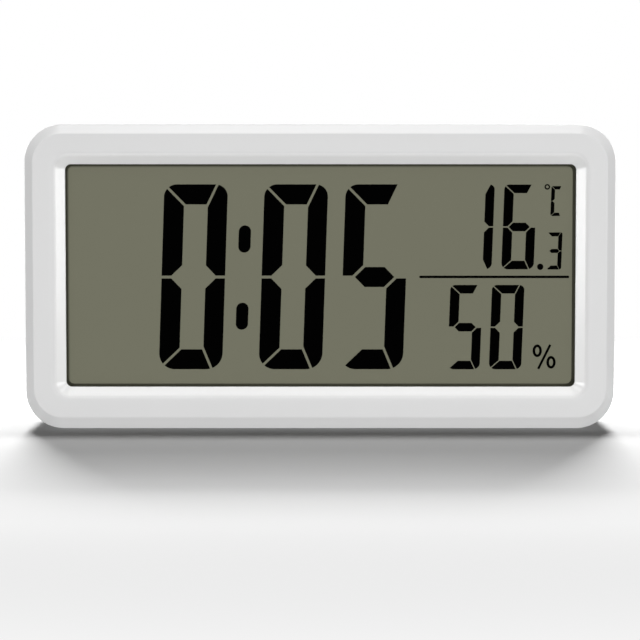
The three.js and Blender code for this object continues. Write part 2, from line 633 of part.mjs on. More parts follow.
// Rear half of the case
function rearCover() {
  const front = PARTING_DEPTH + FIT;
  const rounding = Array.from({ length: ROUND_STEPS + 1 }, (_, i) => {
    const angle = i / ROUND_STEPS * Math.PI / 2;
    const inset = REAR_ROUND * (1 - Math.cos(angle));
    return { rect: grow(outline, -inset), radius: CORNER_RADIUS - inset,
      depth: clockDepth - REAR_ROUND * (1 - Math.sin(angle)) };
  });
  const shell = loft([{ rect: outline, radius: CORNER_RADIUS, depth: front }, ...rounding]);
  const inside = slab(cavity, CORNER_RADIUS - CASE_WALL, front - OVERRUN, plateFront);
  const lipOuter = grow(cavity, -FIT);
  const lipInner = grow(lipOuter, -LIP_THICKNESS);
  const lipRadius = CORNER_RADIUS - CASE_WALL - FIT;
  const lip = ringSlab(lipOuter, lipRadius, lipInner, lipRadius - LIP_THICKNESS,
    PARTING_DEPTH - LIP_DEPTH, front + ROOT);
  const lipFoot = ringSlab(grow(cavity, ROOT), CORNER_RADIUS - CASE_WALL + ROOT, lipInner,
    lipRadius - LIP_THICKNESS, front, front + LIP_THICKNESS);
  const columns = caseScrewPlaces.map((place) => (
    peg(place, CASE_SCREW.head + FIT + COLUMN_WALL, front, plateFront + ROOT)));
  const noses = caseScrewPlaces.map((place) => (
    peg(place, CASE_SCREW.shank + FIT + BOSS_WALL, bossBack + FIT, front + ROOT)));
  const bayBox = slab(grow(bayRect, BAY_WALL), BAY_WALL, bayFloorFront, plateFront + ROOT);
  const recessBox = slab(grow(recessRect, RECESS_WALL), RECESS_WALL, recessFloor - RECESS_WALL,
    plateFront + ROOT);
  const pad = slab(grow(panelRect, PANEL.backing), PANEL.corner + PANEL.backing, padFront, plateFront + ROOT);
  const body = join(cut(shell, inside), lip, lipFoot, ...columns, ...noses, bayBox, recessBox, pad);
  return cut(body, ...rearOpenings());
}

// Cuts in the rear cover: bay, door seat, stand recess, buttons, vents, screw holes
function rearOpenings() {
  const out = clockDepth + OVERRUN;
  const bay = block(bayRect, bayFloorBack, out);
  const doorSeat = slab(grow(doorRect, FIT), DOOR_CORNER + FIT, doorFront - FIT, out);
  const recess = sheet(standOutline(FIT, recessRect.z1), recessFloor, out);
  const pinHole = crossbar(recessRect.x0 - RECESS_WALL - OVERRUN, recessRect.x1 + RECESS_WALL + OVERRUN,
    STAND_PIN.radius + FIT, hingeDepth, hingeZ);
  const scoop = new THREE.SphereGeometry(1, FINE_SIDES, SIDES / 2)
    .scale(SCOOP.halfWidth, SCOOP.depth, SCOOP.halfHeight)
    .translate(0, face + clockDepth, recessRect.z0);
  const panel = slab(panelRect, PANEL.corner, panelFace, out);
  const buttonHoles = buttonZ.map((z) => (
    peg({ x: buttonX, z }, BUTTON.radius + FIT, padFront - OVERRUN, out, FINE_SIDES)));
  const vents = Array.from({ length: VENT.count }, (_, i) => {
    const z = CLOCK_HEIGHT - VENT.fromTop - i * VENT.pitch;
    return slab(centred(-halfWidth + VENT.fromSide, z, VENT.length, VENT.height), VENT.height / 2,
      plateFront - OVERRUN, out);
  });
  const shankHoles = caseScrewPlaces.map((place) => (
    peg(place, CASE_SCREW.shank + FIT, bossBack, out)));
  const headHoles = caseScrewPlaces.map((place) => (
    peg(place, CASE_SCREW.head + FIT, bossBack + FIT + CASE_SCREW.seat, out)));
  const tabSlots = [-1, 1].map((side) => block(
    centred(bayX + side * cellOffset, bayRect.z1 + BAY_WALL / 2, CONTACT.tab + 2 * FIT, BAY_WALL + 2 * FIT),
    contactFront - FIT, contactFront + CONTACT.thickness + FIT));
  const hookNotches = hookPlaces().map((x) => block(
    rectangle(x - HOOK.width / 2 - FIT, x + HOOK.width / 2 + FIT, bayRect.z1 - OVERRUN,
      bayRect.z1 + BAY_WALL + OVERRUN),
    hookFront - HOOK.thickness, doorFront));
  return [bay, doorSeat, recess, pinHole, scoop, panel, ...buttonHoles, ...vents, ...shankHoles,
    ...headHoles, ...tabSlots, ...hookNotches];
}

const hookPlaces = () => [-1, 1].map((side) => bayX + side * HOOK.spread / 2);
const hookBack = plateFront - FIT;
const hookFront = hookBack - HOOK.thickness;

// Battery door: flush plate, two hooks under the upper edge, finger grips near the lower end
function batteryDoor() {
  const plate = slab(doorRect, DOOR_CORNER, doorFront, clockDepth);
  const webs = hookPlaces().map((x) => block(rectangle(x - HOOK.width / 2, x + HOOK.width / 2,
    doorRect.z1 - HOOK.web, doorRect.z1), hookFront, doorFront + ROOT));
  const fingers = hookPlaces().map((x) => block(rectangle(x - HOOK.width / 2, x + HOOK.width / 2,
    doorRect.z1 - HOOK.web, doorRect.z1 + HOOK.reach), hookFront, hookBack));
  const grips = Array.from({ length: GRIP.count }, (_, i) => slab(
    centred(bayX, doorRect.z0 + GRIP.fromEnd + i * GRIP.pitch, GRIP.width, GRIP.height),
    GRIP.height / 2, clockDepth - GRIP.depth, clockDepth + OVERRUN));
  return cut(join(plate, ...webs, ...fingers), ...grips);
}

// Outline of the stand grown by a margin: square at the top, rounded at its free end
function standOutline(margin, top) {
  const half = STAND.width / 2 + margin;
  const radius = STAND.corner + margin;
  const low = standBottom + STAND.corner;
  const shape = new THREE.Shape();
  shape.moveTo(-half, top);
  shape.lineTo(-half, low);
  shape.absarc(radius - half, low, radius, Math.PI, 1.5 * Math.PI);
  shape.absarc(half - radius, low, radius, 1.5 * Math.PI, 2 * Math.PI);
  shape.lineTo(half, top);
  return shape;
}

// Stand: a panel with a rolled upper edge round the pin and three ribs on its hidden side
function standPanel() {
  const half = STAND.width / 2;
  const front = standBack - STAND.thickness;
  const barrel = crossbar(-half, half, STAND.barrel, hingeDepth, hingeZ, FINE_SIDES);
  const ribFront = recessFloor + FIT;
  const ribs = [-1, 0, 1].map((side) => block(rectangle(
    side * STAND.width / 3 - STAND.rib / 2,
    side * STAND.width / 3 + STAND.rib / 2,
    standBottom + STAND.corner,
    hingeZ,
  ), ribFront, front + ROOT));
  const bore = crossbar(-half - OVERRUN, half + OVERRUN, STAND_PIN.radius + FIT, hingeDepth, hingeZ);
  return cut(join(sheet(standOutline(0, hingeZ), front, standBack), barrel, ...ribs), bore);
}

addPiece('front_frame', frontFrame(), FINISH.white);
addPiece('display_lens', slab(lensRect, LENS_CORNER, lensFront, lensBack), FINISH.lens);
addPiece('dust_gasket', ringSlab(cellRect, CELL_CORNER, grow(opening, -GASKET_SHOWING), WINDOW_CORNER,
  gasketFront, gasketBack), FINISH.foam);
addPiece('lcd_polarizer', polarizer(), FINISH.film);
addPiece('lcd_front_glass', slab(cellRect, CELL_CORNER, frontGlassFront, frontGlassBack), FINISH.glass);
addPiece('lcd_rear_glass', slab(rearGlassRect, CELL_CORNER, rearGlassFront, rearGlassBack), FINISH.glass);
addPiece('lcd_reflector', slab(rearGlassRect, CELL_CORNER, reflectorFront, reflectorBack), FINISH.mirror);
addPiece('lcd_holder', lcdHolder(), FINISH.natural);
Object.entries(zebraRows).forEach(([row, z]) => {
  addPiece(`zebra_strip_${row}`, block(zebraRect(z), frontGlassBack + BOND, boardFront - BOND), FINISH.zebra);
});

addPiece('main_board', mainBoard(), FINISH.board);
const chipPlace = { x: 0, z: middle - CHIP.below };
const chipFront = boardBack + BOND;
addPiece('controller_chip', turned(chipPlace, [[0, chipFront], [CHIP.radius, chipFront],
  [CHIP.shoulder, chipFront + CHIP.shoulderHeight], [CHIP.top, chipFront + CHIP.height],
  [0, chipFront + CHIP.height]], FINE_SIDES), FINISH.black);
addPiece('crystal', crossbar(CRYSTAL.right, CRYSTAL.right + CRYSTAL.length, CRYSTAL.radius,
  boardBack + FIT + CRYSTAL.radius, middle - CRYSTAL.below), FINISH.steel);
const ventMiddle = CLOCK_HEIGHT - VENT.fromTop - VENT.pitch * (VENT.count - 1) / 2;
addPiece('climate_sensor', block(centred(-halfWidth + VENT.fromSide, ventMiddle, SENSOR.size, SENSOR.size),
  boardBack + BOND, boardBack + BOND + SENSOR.height), FINISH.black);

BUTTON_NAMES.forEach((name, i) => {
  const place = { x: buttonX, z: buttonZ[i] };
  addPiece(`tact_switch_${name}`, tactSwitch(place), FINISH.black);
  addPiece(`switch_plunger_${name}`, peg(place, PLUNGER.radius, plungerFront, plungerBack), FINISH.natural);
  addPiece(`${name}_button`, button(place), FINISH.white);
});

const plusUpX = bayX - cellOffset;
const plusDownX = bayX + cellOffset;
addPiece('battery_left', batteryCell(plusUpX, 1), FINISH.cellWrap);
addPiece('battery_right', batteryCell(plusDownX, -1), FINISH.cellWrap);
addPiece('battery_contact_positive', positiveContact(plusUpX), FINISH.steel);
addPiece('battery_contact_negative', negativeContact(plusDownX), FINISH.steel);
addPiece('battery_link', batteryLink(plusUpX, plusDownX), FINISH.steel);
addPiece('battery_lead_red', lead(plusUpX, -LEAD.sway), FINISH.redLead);
addPiece('battery_lead_black', lead(plusDownX, LEAD.sway), FINISH.blackLead);
console.log(`battery spring: least gap between turns ${coilGap().toFixed(2)} mm`);

addPiece('rear_cover', rearCover(), FINISH.white);
addPiece('battery_door', batteryDoor(), FINISH.white);
addPiece('stand', standPanel(), FINISH.white);
const pinReach = recessRect.x1 + STAND_PIN.bite;
addPiece('stand_pin', crossbar(-pinReach, pinReach, STAND_PIN.radius, hingeDepth, hingeZ), FINISH.steel);

caseScrewPlaces.forEach((place, i) => {
  const seat = bossBack + FIT + CASE_SCREW.seat + BOND;
  const tip = bossBack - CASE_SCREW.bite + FIT;
  addPiece(`case_screw_${i + 1}`, screw(place, CASE_SCREW, tip, seat), FINISH.steel);
});
boardScrewPlaces.forEach((place, i) => {
  const tip = boardFront - BOARD_SCREW.bite;
  addPiece(`board_screw_${i + 1}`, screw(place, BOARD_SCREW, tip, boardBack + BOND), FINISH.steel);
});

export default clock;
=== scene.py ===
"""Desk clock with a liquid-crystal display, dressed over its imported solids.

Every new piece is a numpy surface in millimetres, in the frame of the solids: x runs to the right
seen from the front, y towards the back and z up. Depths are measured back from the front face.
"""
import math

import bmesh
import bpy
import numpy as np
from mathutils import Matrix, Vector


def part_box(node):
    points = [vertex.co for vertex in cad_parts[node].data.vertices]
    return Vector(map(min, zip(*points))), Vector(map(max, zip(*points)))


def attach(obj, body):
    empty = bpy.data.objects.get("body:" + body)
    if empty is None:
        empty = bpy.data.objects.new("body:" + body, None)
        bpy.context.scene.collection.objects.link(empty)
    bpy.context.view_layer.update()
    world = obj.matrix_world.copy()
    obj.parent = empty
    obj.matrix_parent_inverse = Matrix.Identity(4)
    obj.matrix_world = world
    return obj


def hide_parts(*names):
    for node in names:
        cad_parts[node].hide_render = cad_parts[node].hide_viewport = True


def srgb(red, green, blue):
    """Linear colour from 8-bit display values, by the standard display curve."""
    value = np.array([red, green, blue]) / 255
    linear = np.where(value <= 0.04045, value / 12.92, ((value + 0.055) / 1.055) ** 2.4)
    return (*linear.tolist(), 1.0)


MM = 0.001

# Case; a nudge moves the left, right, lower and upper side of a rectangle
CORNER_RADIUS = 10.6
CASE_WALL = 2.2
FRONT_CHAMFER = 2.6
LOWER_CHAMFER = 3.3
BEVEL_WIDTH = 2.8
BEVEL_SIDE_GAIN = 1.15
BEVEL_DEPTH = 2.2
BEVEL_CORNER = 4.2
WINDOW_CORNER = 1.6
WINDOW_LAND = 0.7
LENS_MARGIN = 2.06
WINDOW_NUDGE = (0.17, 0.17, -0.13, 0.0)

# Edge rounding of the front half
LAND_ROUND = 0.25
BEVEL_ROUND = 2.4
FACE_ROUND = 0.55
CHAMFER_ROUND = 0.9
PARTING_ROUND = 0.25
SUPPORT = 0.06
FACE_MARGIN = 1.5

# Display
STROKE_RELIEF = 0.1
FILM_THICKNESS = 0.2
FILM_CORNER = 0.8
# The film's edge band, EDGE_SHADE mm wide, is painted shade for the shadow of the bezel's recess;
# SHADE_NUDGE moves its rectangle.
EDGE_SHADE = 0.9
SHADE_NUDGE = (0.0, 0.18, 0.0, -0.15)
SLANT = 0.0345

# Facets, and the angle in degrees past which an edge stays sharp
ARC_STEPS = 20
ROUND_STEPS = 5
LATHE_STEPS = 64
WIRE_SIDES = 16
SHARP_ANGLE = 40

# Figures: width, height, left, right and level strokes, slit, middle gap, corner and shoulder
TIME_FIGURE = dict(width=17.83, height=51.95, left=5.68, right=5.46, level=5.6, slit=0.7, gap=0.8,
                   corner=3.5, shoulder=2.95)
CLIMATE_FIGURE = dict(width=9.08, height=23.75, left=2.66, right=2.53, level=2.38, slit=0.3, gap=0.4,
                      corner=1.4, shoulder=1.35)
TENTHS_FIGURE = dict(width=4.15, height=10.4, left=1.12, right=1.12, level=1.1, slit=0.12, gap=0.16,
                     corner=0.5, shoulder=0.55)
UNIT_FIGURE = dict(width=3.3, height=8.36, left=1.02, right=0.9, level=0.92, slit=0.14, gap=0.1,
                   corner=0.5, shoulder=0.5)
FLAT_SHARE = 0.48
TIP_SHARE = 0.61
FOOT_GAIN = 1.3
LIT = {"0": "abcdef", "1": "bc", "3": "abcdg", "5": "acdfg", "6": "acdefg", "C": "adef"}
MIRRORED = {"d": "a", "c": "b", "e": "f"}

# Places of the figures: left edge and base from the middle of the display
TIME_PLACES = [("0", (-45.4, -26.5)), ("0", (-17.3, -26.5)), ("5", (5.45, -26.5))]
TEMPERATURE_PLACES = [("1", (39.1, 1.65)), ("6", (50.9, 1.65))]
TENTHS_PLACES = [("3", (63.55, 1.6))]
UNIT_PLACES = [("C", (64.6, 16.6))]
HUMIDITY_PLACES = [("5", (35.85, -26.52)), ("0", (47.55, -26.52))]
COLON = dict(width=3.42, height=7.6, places=((-21.15, 10.15), (-21.9, -11.55)))
DIVIDER = dict(left=27.9, right=70.0, level=-0.49, thickness=0.68)
POINT = dict(place=(61.85, 2.35), radius=0.88)
DEGREE = dict(place=(63.7, 24.75), radius=0.78, stroke=0.38)
PERCENT = dict(rings=((61.15, -21.3), (65.05, -24.55)), half_width=1.3, half_height=1.78, stroke=0.74,
               slash=((64.8, -19.6), (61.45, -26.4)), slash_width=0.66)

# Rear pieces: rounding of edges, battery cells, their contacts, buttons and screws
EDGE_ROUND = 0.25
EDGE_STEPS = 3
MERGE_DISTANCE = 0.001
FLAT_ANGLE = 0.5
FLAT_WEIGHT = 100
CREASE_ANGLE = 35
CELL = dict(edge=0.7, lap=1.3, wrap=0.25, nub=1.9, nub_height=1.0, nub_edge=0.35, fillet=0.2,
            band=(0.66, 0.95), band_fade=0.1, metallic=0.4)
CONTACT = dict(thickness=0.4, tab=3.0, corner=0.8, edge=0.1)
SPRING = dict(radius=2.9, tip_radius=1.9, wire=0.7, rise=3.55, turns=3.5, steps=120)
BUTTON = dict(radius=3.2, edge=0.55, dish=0.18, dish_from=0.05, dish_steps=12, fillet=0.1, stem=1.6,
              flange=4.2, flange_back=3.5, flange_front=4.3)
SCREW = dict(radius=2.0, height=1.5, edge=0.45, dome=0.2, dome_from=0.02, dome_steps=24, facets=96,
             shank=1.1, arm=0.3, arm_fade=0.12, reach=1.2, reach_fade=0.3, recess=0.7)
SCREWS = 4
FORWARD = (0, -1, 0)

# Colours
WHITE_COLOUR = (0.70, 0.70, 0.70, 1)
# The bezel's whiter colour is painted light, standing in for the brighter light that its slopes catch.
BEZEL_PAINTED_LIGHT_COLOUR = (0.82, 0.82, 0.815, 1)
FILM_COLOUR = (0.225, 0.225, 0.164, 1)
# The film's second, darker colour is painted shade along the window's edge.
FILM_PAINTED_SHADE_COLOUR = (0.085, 0.085, 0.065, 1)
INK_COLOUR = (0.0008, 0.0008, 0.0008, 1)
FOAM_COLOUR = (0.07, 0.07, 0.05, 1)
LENS_COLOUR = (0.02, 0.02, 0.02, 1)
GLASS_COLOUR = (0.62, 0.67, 0.64, 1)
REFLECTOR_COLOUR = (0.42, 0.42, 0.36, 1)
STEEL_COLOUR = (0.62, 0.63, 0.65, 1)
EPOXY_COLOUR = (0.012, 0.012, 0.012, 1)
RUBBER_DARK = (0.015, 0.015, 0.015, 1)
RUBBER_PALE = (0.09, 0.09, 0.095, 1)
NATURAL_COLOUR = srgb(224, 224, 219)
BOARD_COLOUR = srgb(31, 107, 58)
TRACK_COLOUR = srgb(58, 140, 82)
RED_COLOUR = srgb(178, 31, 26)
BLACK_COLOUR = srgb(28, 28, 28)
CELL_COLOUR = srgb(52, 58, 64)
BAND_COLOUR = srgb(190, 128, 84)
FLOOR_COLOUR = (0.45, 0.45, 0.45, 1)

# Finishes: noises per metre, their detail and effect, the height of a relief in mm, roughness of the
# satin face and polished bezel, and how far from the window the polish and the bezel's painted light end
NOISE_DETAIL = 2.0
NOISE_MIDDLE = 0.5
GRAIN = dict(scale=2500.0, detail=3.0, drift_scale=45.0, drift=0.03, spread=0.08, bump=0.02, height=0.1)
DRAWN = dict(stretch=(4000.0, 4000.0, 200.0), detail=4.0, streak=0.2, bump=0.04, height=0.05)
EVEN_STRETCH = (600.0, 600.0, 600.0)
SATIN = 0.38
POLISH = 0.2
POLISH_FADE = (2.2, 3.4)
LENS_ROUGHNESS = 0.04
LENS_SHEEN = 0.6
RUBBER_PITCH = 0.18
RUBBER_SHARE = 0.5
TRACK_PITCHES = {"X": 1.27, "Z": 1.6}
TRACK_SHARE = 0.3
TRACK_PATCHES = 90.0
FLOOR_ROUGHNESS = 0.9

# Camera and the width that it shows at the face
CAMERA_DISTANCE = 600
CAMERA_PITCH = 3.4
CAMERA_AIM = 30.6
FRAME_WIDTH = 178.4
SENSOR = 36

# Light: ambient level; azimuth, elevation, distance, width and height in mm, and watts of each soft
# box for the case and for the display; watts of the pairs behind the clock that light the floor, by
# elevation
AMBIENT = 0.15
CASE_LAMPS = {
    "front": (0, -1.5, 460, 300, 60, 0.345),
    "below": (0, -40, 900, 640, 300, 2.2),
    "under": (0, -90, 900, 640, 80, 1.1),
    "right_wide": (38, 4, 900, 200, 220, 0.95),
    "left_strip": (-58, 4, 650, 120, 220, 0.9),
    "right_strip": (58, 4, 650, 120, 220, 0.78),
    "left_upper": (-52, 39, 900, 200, 200, 0.72),
    "right_upper": (52, 39, 900, 200, 200, 0.72),
    "overhead": (0, 75, 1200, 640, 160, 2.45),
    "top": (0, 90, 1200, 640, 300, 4.6),
    "left_rear": (-140, 4, 900, 420, 360, 2.2),
    "right_rear": (140, 4, 900, 420, 360, 2.2),
    "back_upper": (155, 38, 900, 360, 260, 2.4),
}
DISPLAY_LAMPS = {"display": (0, 4, 900, 260, 200, 5.1)}
FLOOR_PAIRS = {28: 0.8, 34: 2.95, 40: 1.0, 47: 0.46, 56: 0.24, 78: 0.68}
FLOOR_PAIR = dict(azimuths=(156, 204), distance=420, width=90, height=60)
FLOOR_SIZE = 6000
FLOOR_WHITE = (150, 380)

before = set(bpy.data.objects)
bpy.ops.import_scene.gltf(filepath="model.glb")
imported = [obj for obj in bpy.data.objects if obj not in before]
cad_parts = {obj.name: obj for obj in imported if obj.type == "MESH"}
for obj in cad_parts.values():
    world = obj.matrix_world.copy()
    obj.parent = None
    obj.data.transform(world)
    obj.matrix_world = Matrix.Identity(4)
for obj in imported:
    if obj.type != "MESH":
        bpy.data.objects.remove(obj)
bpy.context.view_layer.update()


def node_box(node):
    """Lowest and highest corner of a solid, in millimetres."""
    low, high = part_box(node)
    return np.array(low) / MM, np.array(high) / MM


def face_rectangle(node):
    """Rectangle x0, x1, z0, z1 that a solid covers in the plane of the face."""
    low, high = node_box(node)
    return np.array([low[0], high[0], low[2], high[2]])


def grow(rectangle, margin):
    """Rectangle moved out by a margin on all four sides."""
    return rectangle + margin * np.array([-1, 1, -1, 1])


OUTLINE = face_rectangle("front_frame")
DISPLAY = face_rectangle("display_lens")
DISPLAY_MIDDLE = (DISPLAY[[0, 2]] + DISPLAY[[1, 3]]) / 2
WINDOW = grow(DISPLAY, -LENS_MARGIN) + WINDOW_NUDGE
FILM_SHADE = WINDOW + SHADE_NUDGE
FACE = node_box("front_frame")[0][1]
PARTING = node_box("front_frame")[1][1] - FACE
STROKE_FRONT = node_box("lcd_polarizer")[0][1] - FACE
FILM_FRONT = STROKE_FRONT + STROKE_RELIEF


# Surfaces

def round_corners(corners, radii):
    """Polyline whose inner corners are arcs.

    Each corner's arc centre lies on its bisector at radius / sin(half angle), and the arc turns from
    one tangent point to the other. A support point beside each tangent point keeps flats flat.
    """
    corners = np.asarray(corners, float)
    radii = np.asarray(radii, float)[:, None]
    here = corners[1:-1]
    back = corners[:-2] - here
    ahead = corners[2:] - here
    back = back / np.linalg.norm(back, axis=1, keepdims=True)
    ahead = ahead / np.linalg.norm(ahead, axis=1, keepdims=True)
    half = np.arccos(np.clip((back * ahead).sum(1, keepdims=True), -1, 1)) / 2
    bisector = back + ahead
    centre = here + bisector / np.linalg.norm(bisector, axis=1, keepdims=True) * radii / np.sin(half)
    start = here + back * radii / np.tan(half)
    end = here + ahead * radii / np.tan(half)
    turn = np.pi - 2 * half[:, :, None]
    share = np.linspace(0, 1, ROUND_STEPS + 1)[None, :, None]
    leaving = np.sin((1 - share) * turn) * (start - centre)[:, None]
    arriving = np.sin(share * turn) * (end - centre)[:, None]
    arcs = centre[:, None] + (leaving + arriving) / np.sin(turn)
    before = (start + back * SUPPORT)[:, None]
    after = (end + ahead * SUPPORT)[:, None]
    rounded_part = np.concatenate([before, arcs, after], axis=1).reshape(-1, 2)
    return np.concatenate([corners[:1], rounded_part, corners[-1:]])


def carry(profile, rectangle, corner, corner_gain=1.0, side_gain=1.0, lower_gain=1.0):
    """Profile of (offset, depth) points carried round a rounded rectangle.

    At each point the rectangle grows by the offset, times side_gain on its left and right and
    lower_gain on its lower side, and its corner radius by corner_gain times the offset. A quarter
    turn of that radius stands on each of the four corner centres.
    """
    offset, depth = np.asarray(profile, float).T[:, :, None, None]
    radius = corner + corner_gain * offset
    side_x = np.array([1, -1, -1, 1])[:, None]
    side_z = np.array([1, 1, -1, -1])[:, None]
    gain_z = np.array([1, 1, lower_gain, lower_gain])[:, None]
    x0, x1, z0, z1 = rectangle
    edge_x = np.array([x1, x0, x0, x1])[:, None] + side_x * (offset * side_gain - radius)
    edge_z = np.array([z1, z1, z0, z0])[:, None] + side_z * (offset * gain_z - radius)
    angle = (np.arange(4)[:, None] + np.linspace(0, 1, ARC_STEPS + 1)) * np.pi / 2
    x = edge_x + radius * np.cos(angle)
    z = edge_z + radius * np.sin(angle)
    y = np.broadcast_to(FACE + depth, x.shape)
    return np.stack([x, y, z], axis=-1).reshape(len(depth), -1, 3)


def rounded(rectangle, corner):
    """Outline of (x, z) points of a rectangle with rounded corners."""
    return carry([(0, 0)], rectangle, corner)[0][:, [0, 2]]


def skin(points, wrap=False):
    """Closed skin over a grid of points[row, column] whose columns close on themselves.

    The rows close too where wrap is true, and otherwise the first and last row are capped. The
    signed volume, a sum of a . (b x c) over the faces, decides which way round the faces run.
    """
    rows, columns = points.shape[:2]
    vertices = points.reshape(-1, 3)
    index = np.arange(rows * columns).reshape(rows, columns)
    caps = [] if wrap else [index[0, ::-1], index[-1]]
    lower = index if wrap else index[:-1]
    upper = np.roll(index, -1, axis=0) if wrap else index[1:]
    quads = np.stack([lower, np.roll(lower, -1, 1), np.roll(upper, -1, 1), upper], -1).reshape(-1, 4)
    a, b, c, d = vertices[quads.T]
    volume = (a * (np.cross(b, c) + np.cross(c, d))).sum()
    for cap in caps:
        ring = vertices[cap]
        volume += (ring.mean(0) * np.cross(ring, np.roll(ring, -1, 0))).sum()
    faces = quads.tolist() + [cap.tolist() for cap in caps]
    if volume < 0:
        faces = [face[::-1] for face in faces]
    return vertices, faces


def seat(name, mesh, finish, body, nodes):
    """Object of a mesh in its finish, riding on a body and standing for the named solids."""
    mesh.materials.clear()
    mesh.materials.append(finish)
    piece = bpy.data.objects.new(name, mesh)
    bpy.context.scene.collection.objects.link(piece)
    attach(piece, body)
    if nodes:
        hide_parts(*nodes)
    return piece


def add_piece(name, skins, finish, body, nodes=()):
    """One piece made of several closed skins."""
    starts = np.cumsum([0] + [len(vertices) for vertices, _ in skins])
    vertices = np.concatenate([vertices for vertices, _ in skins]) * MM
    faces = [[start + i for i in face] for start, (_, group) in zip(starts, skins) for face in group]
    mesh = bpy.data.meshes.new(name)
    mesh.from_pydata(vertices.tolist(), [], faces)
    mesh.shade_smooth()
    mesh.set_sharp_from_angle(angle=math.radians(SHARP_ANGLE))
    return seat(name, mesh, finish, body, nodes)


def prism(outline, front, back):
    """Closed prism over an outline of (x, z) points, from one depth to another."""
    depths = FACE + np.array([front, back])
    rows = [np.insert(outline, 1, depth, axis=1) for depth in depths]
    return skin(np.stack(rows))


def lathe(profile, centre, axis, steps=LATHE_STEPS):
    """Profile of (radius, along) points turned about an axis through a centre.

    A point lies at along times the axis, plus radius times the cosine and sine of its angle on two
    directions square to the axis.
    """
    radius, along = np.asarray(profile, float).T[:, :, None, None]
    axis = np.asarray(axis, float)
    across = np.roll(axis, 1)
    angle = np.linspace(0, 2 * np.pi, steps, endpoint=False)[:, None]
    ring = np.cos(angle) * across + np.sin(angle) * np.cross(axis, across)
    return np.asarray(centre, float) + along * axis + radius * ring


def wire(route, radius):
    """Round wire along a route of points: a circle square to the route at each point.

    One direction of the circle is the route's direction crossed with the vertical, the other is
    square to both.
    """
    along = np.gradient(route, axis=0)
    along = along / np.linalg.norm(along, axis=1, keepdims=True)
    beside = np.cross(along, (0, 0, 1))
    beside = beside / np.linalg.norm(beside, axis=1, keepdims=True)
    above = np.cross(beside, along)
    angle = np.linspace(0, 2 * np.pi, WIRE_SIDES, endpoint=False)[:, None]
    circle = np.cos(angle) * beside[:, None] + np.sin(angle) * above[:, None]
    return route[:, None] + radius * circle


def strip(rectangle, low, upright=False):
    """Strip of a contact: a rounded rectangle in x and y with its thickness up from a height.

    Upright, the rectangle lies in x and z and the thickness runs back from a depth.
    """
    edge, thickness = CONTACT["edge"], CONTACT["thickness"]
    profile = [(-edge, 0), (0, edge), (0, thickness - edge), (-edge, thickness)]
    points = carry(profile, rectangle, CONTACT["corner"]) - (0, FACE, 0)
    if upright:
        return skin(points + (0, low, 0))
    return skin(points[:, :, [0, 2, 1]] + (0, 0, low))


# Materials

def feed(links, value, socket):
    """Sets a socket to a number, or links another socket to it."""
    if isinstance(value, (int, float)):
        socket.default_value = value
    else:
        links.new(value, socket)


def blend_value(nodes, links, operation, *values):
    """Math node whose arguments are sockets or numbers."""
    node = nodes.new("ShaderNodeMath")
    node.operation = operation
    for value, socket in zip(values, node.inputs):
        feed(links, value, socket)
    return node.outputs["Value"]


def noise(nodes, links, place, scale, detail=NOISE_DETAIL):
    """Noise texture over a place, at a scale that is a number or a socket."""
    texture = nodes.new("ShaderNodeTexNoise")
    texture.inputs["Detail"].default_value = detail
    links.new(place, texture.inputs["Vector"])
    feed(links, scale, texture.inputs["Scale"])
    return texture.outputs["Fac"]


def vary(nodes, links, texture, amount, base):
    """Base value plus an amount times how far a noise lies from its middle."""
    lift = blend_value(nodes, links, "SUBTRACT", texture, NOISE_MIDDLE)
    return blend_value(nodes, links, "MULTIPLY_ADD", lift, amount, base)


def object_place(nodes):
    """Socket with the place on the object, in metres."""
    return nodes.new("ShaderNodeTexCoord").outputs["Object"]


def object_axes(nodes, links):
    """Sockets X, Y and Z of the place on the object."""
    split = nodes.new("ShaderNodeSeparateXYZ")
    links.new(object_place(nodes), split.inputs["Vector"])
    return split.outputs


def vector_value(nodes, links, operation, first, second, socket):
    """Vector node of two sockets; the second goes to a socket by name or number."""
    node = nodes.new("ShaderNodeVectorMath")
    node.operation = operation
    links.new(first, node.inputs[0])
    links.new(second, node.inputs[socket])
    return node.outputs["Vector"]


def new_group(name, inputs):
    """Shader node group with inputs given as name: type, which puts out colour, roughness and height."""
    outputs = {"Colour": "NodeSocketColor", "Roughness": "NodeSocketFloat", "Height": "NodeSocketFloat"}
    group = bpy.data.node_groups.new(name, "ShaderNodeTree")
    for way, sockets in (("INPUT", inputs), ("OUTPUT", outputs)):
        for socket, kind in sockets.items():
            group.interface.new_socket(socket, in_out=way, socket_type=kind)
    given = group.nodes.new("NodeGroupInput").outputs
    result = group.nodes.new("NodeGroupOutput").inputs
    return group, given, result


def moulded_grain_group():
    """Moulded surface: fine grain moves height and roughness, a slow drift moves colour."""
    group, given, result = new_group("moulded_grain", {
        "Colour": "NodeSocketColor",
        "Drift": "NodeSocketFloat",
        "Grain": "NodeSocketFloat",
        "Roughness": "NodeSocketFloat",
        "Spread": "NodeSocketFloat",
    })
    nodes, links = group.nodes, group.links
    place = object_place(nodes)
    grain = noise(nodes, links, place, given["Grain"], GRAIN["detail"])
    drift = noise(nodes, links, place, GRAIN["drift_scale"])
    shade = vary(nodes, links, drift, given["Drift"], 1.0)
    links.new(vector_value(nodes, links, "SCALE", given["Colour"], shade, "Scale"), result["Colour"])
    links.new(vary(nodes, links, grain, given["Spread"], given["Roughness"]), result["Roughness"])
    links.new(grain, result["Height"])
    return group


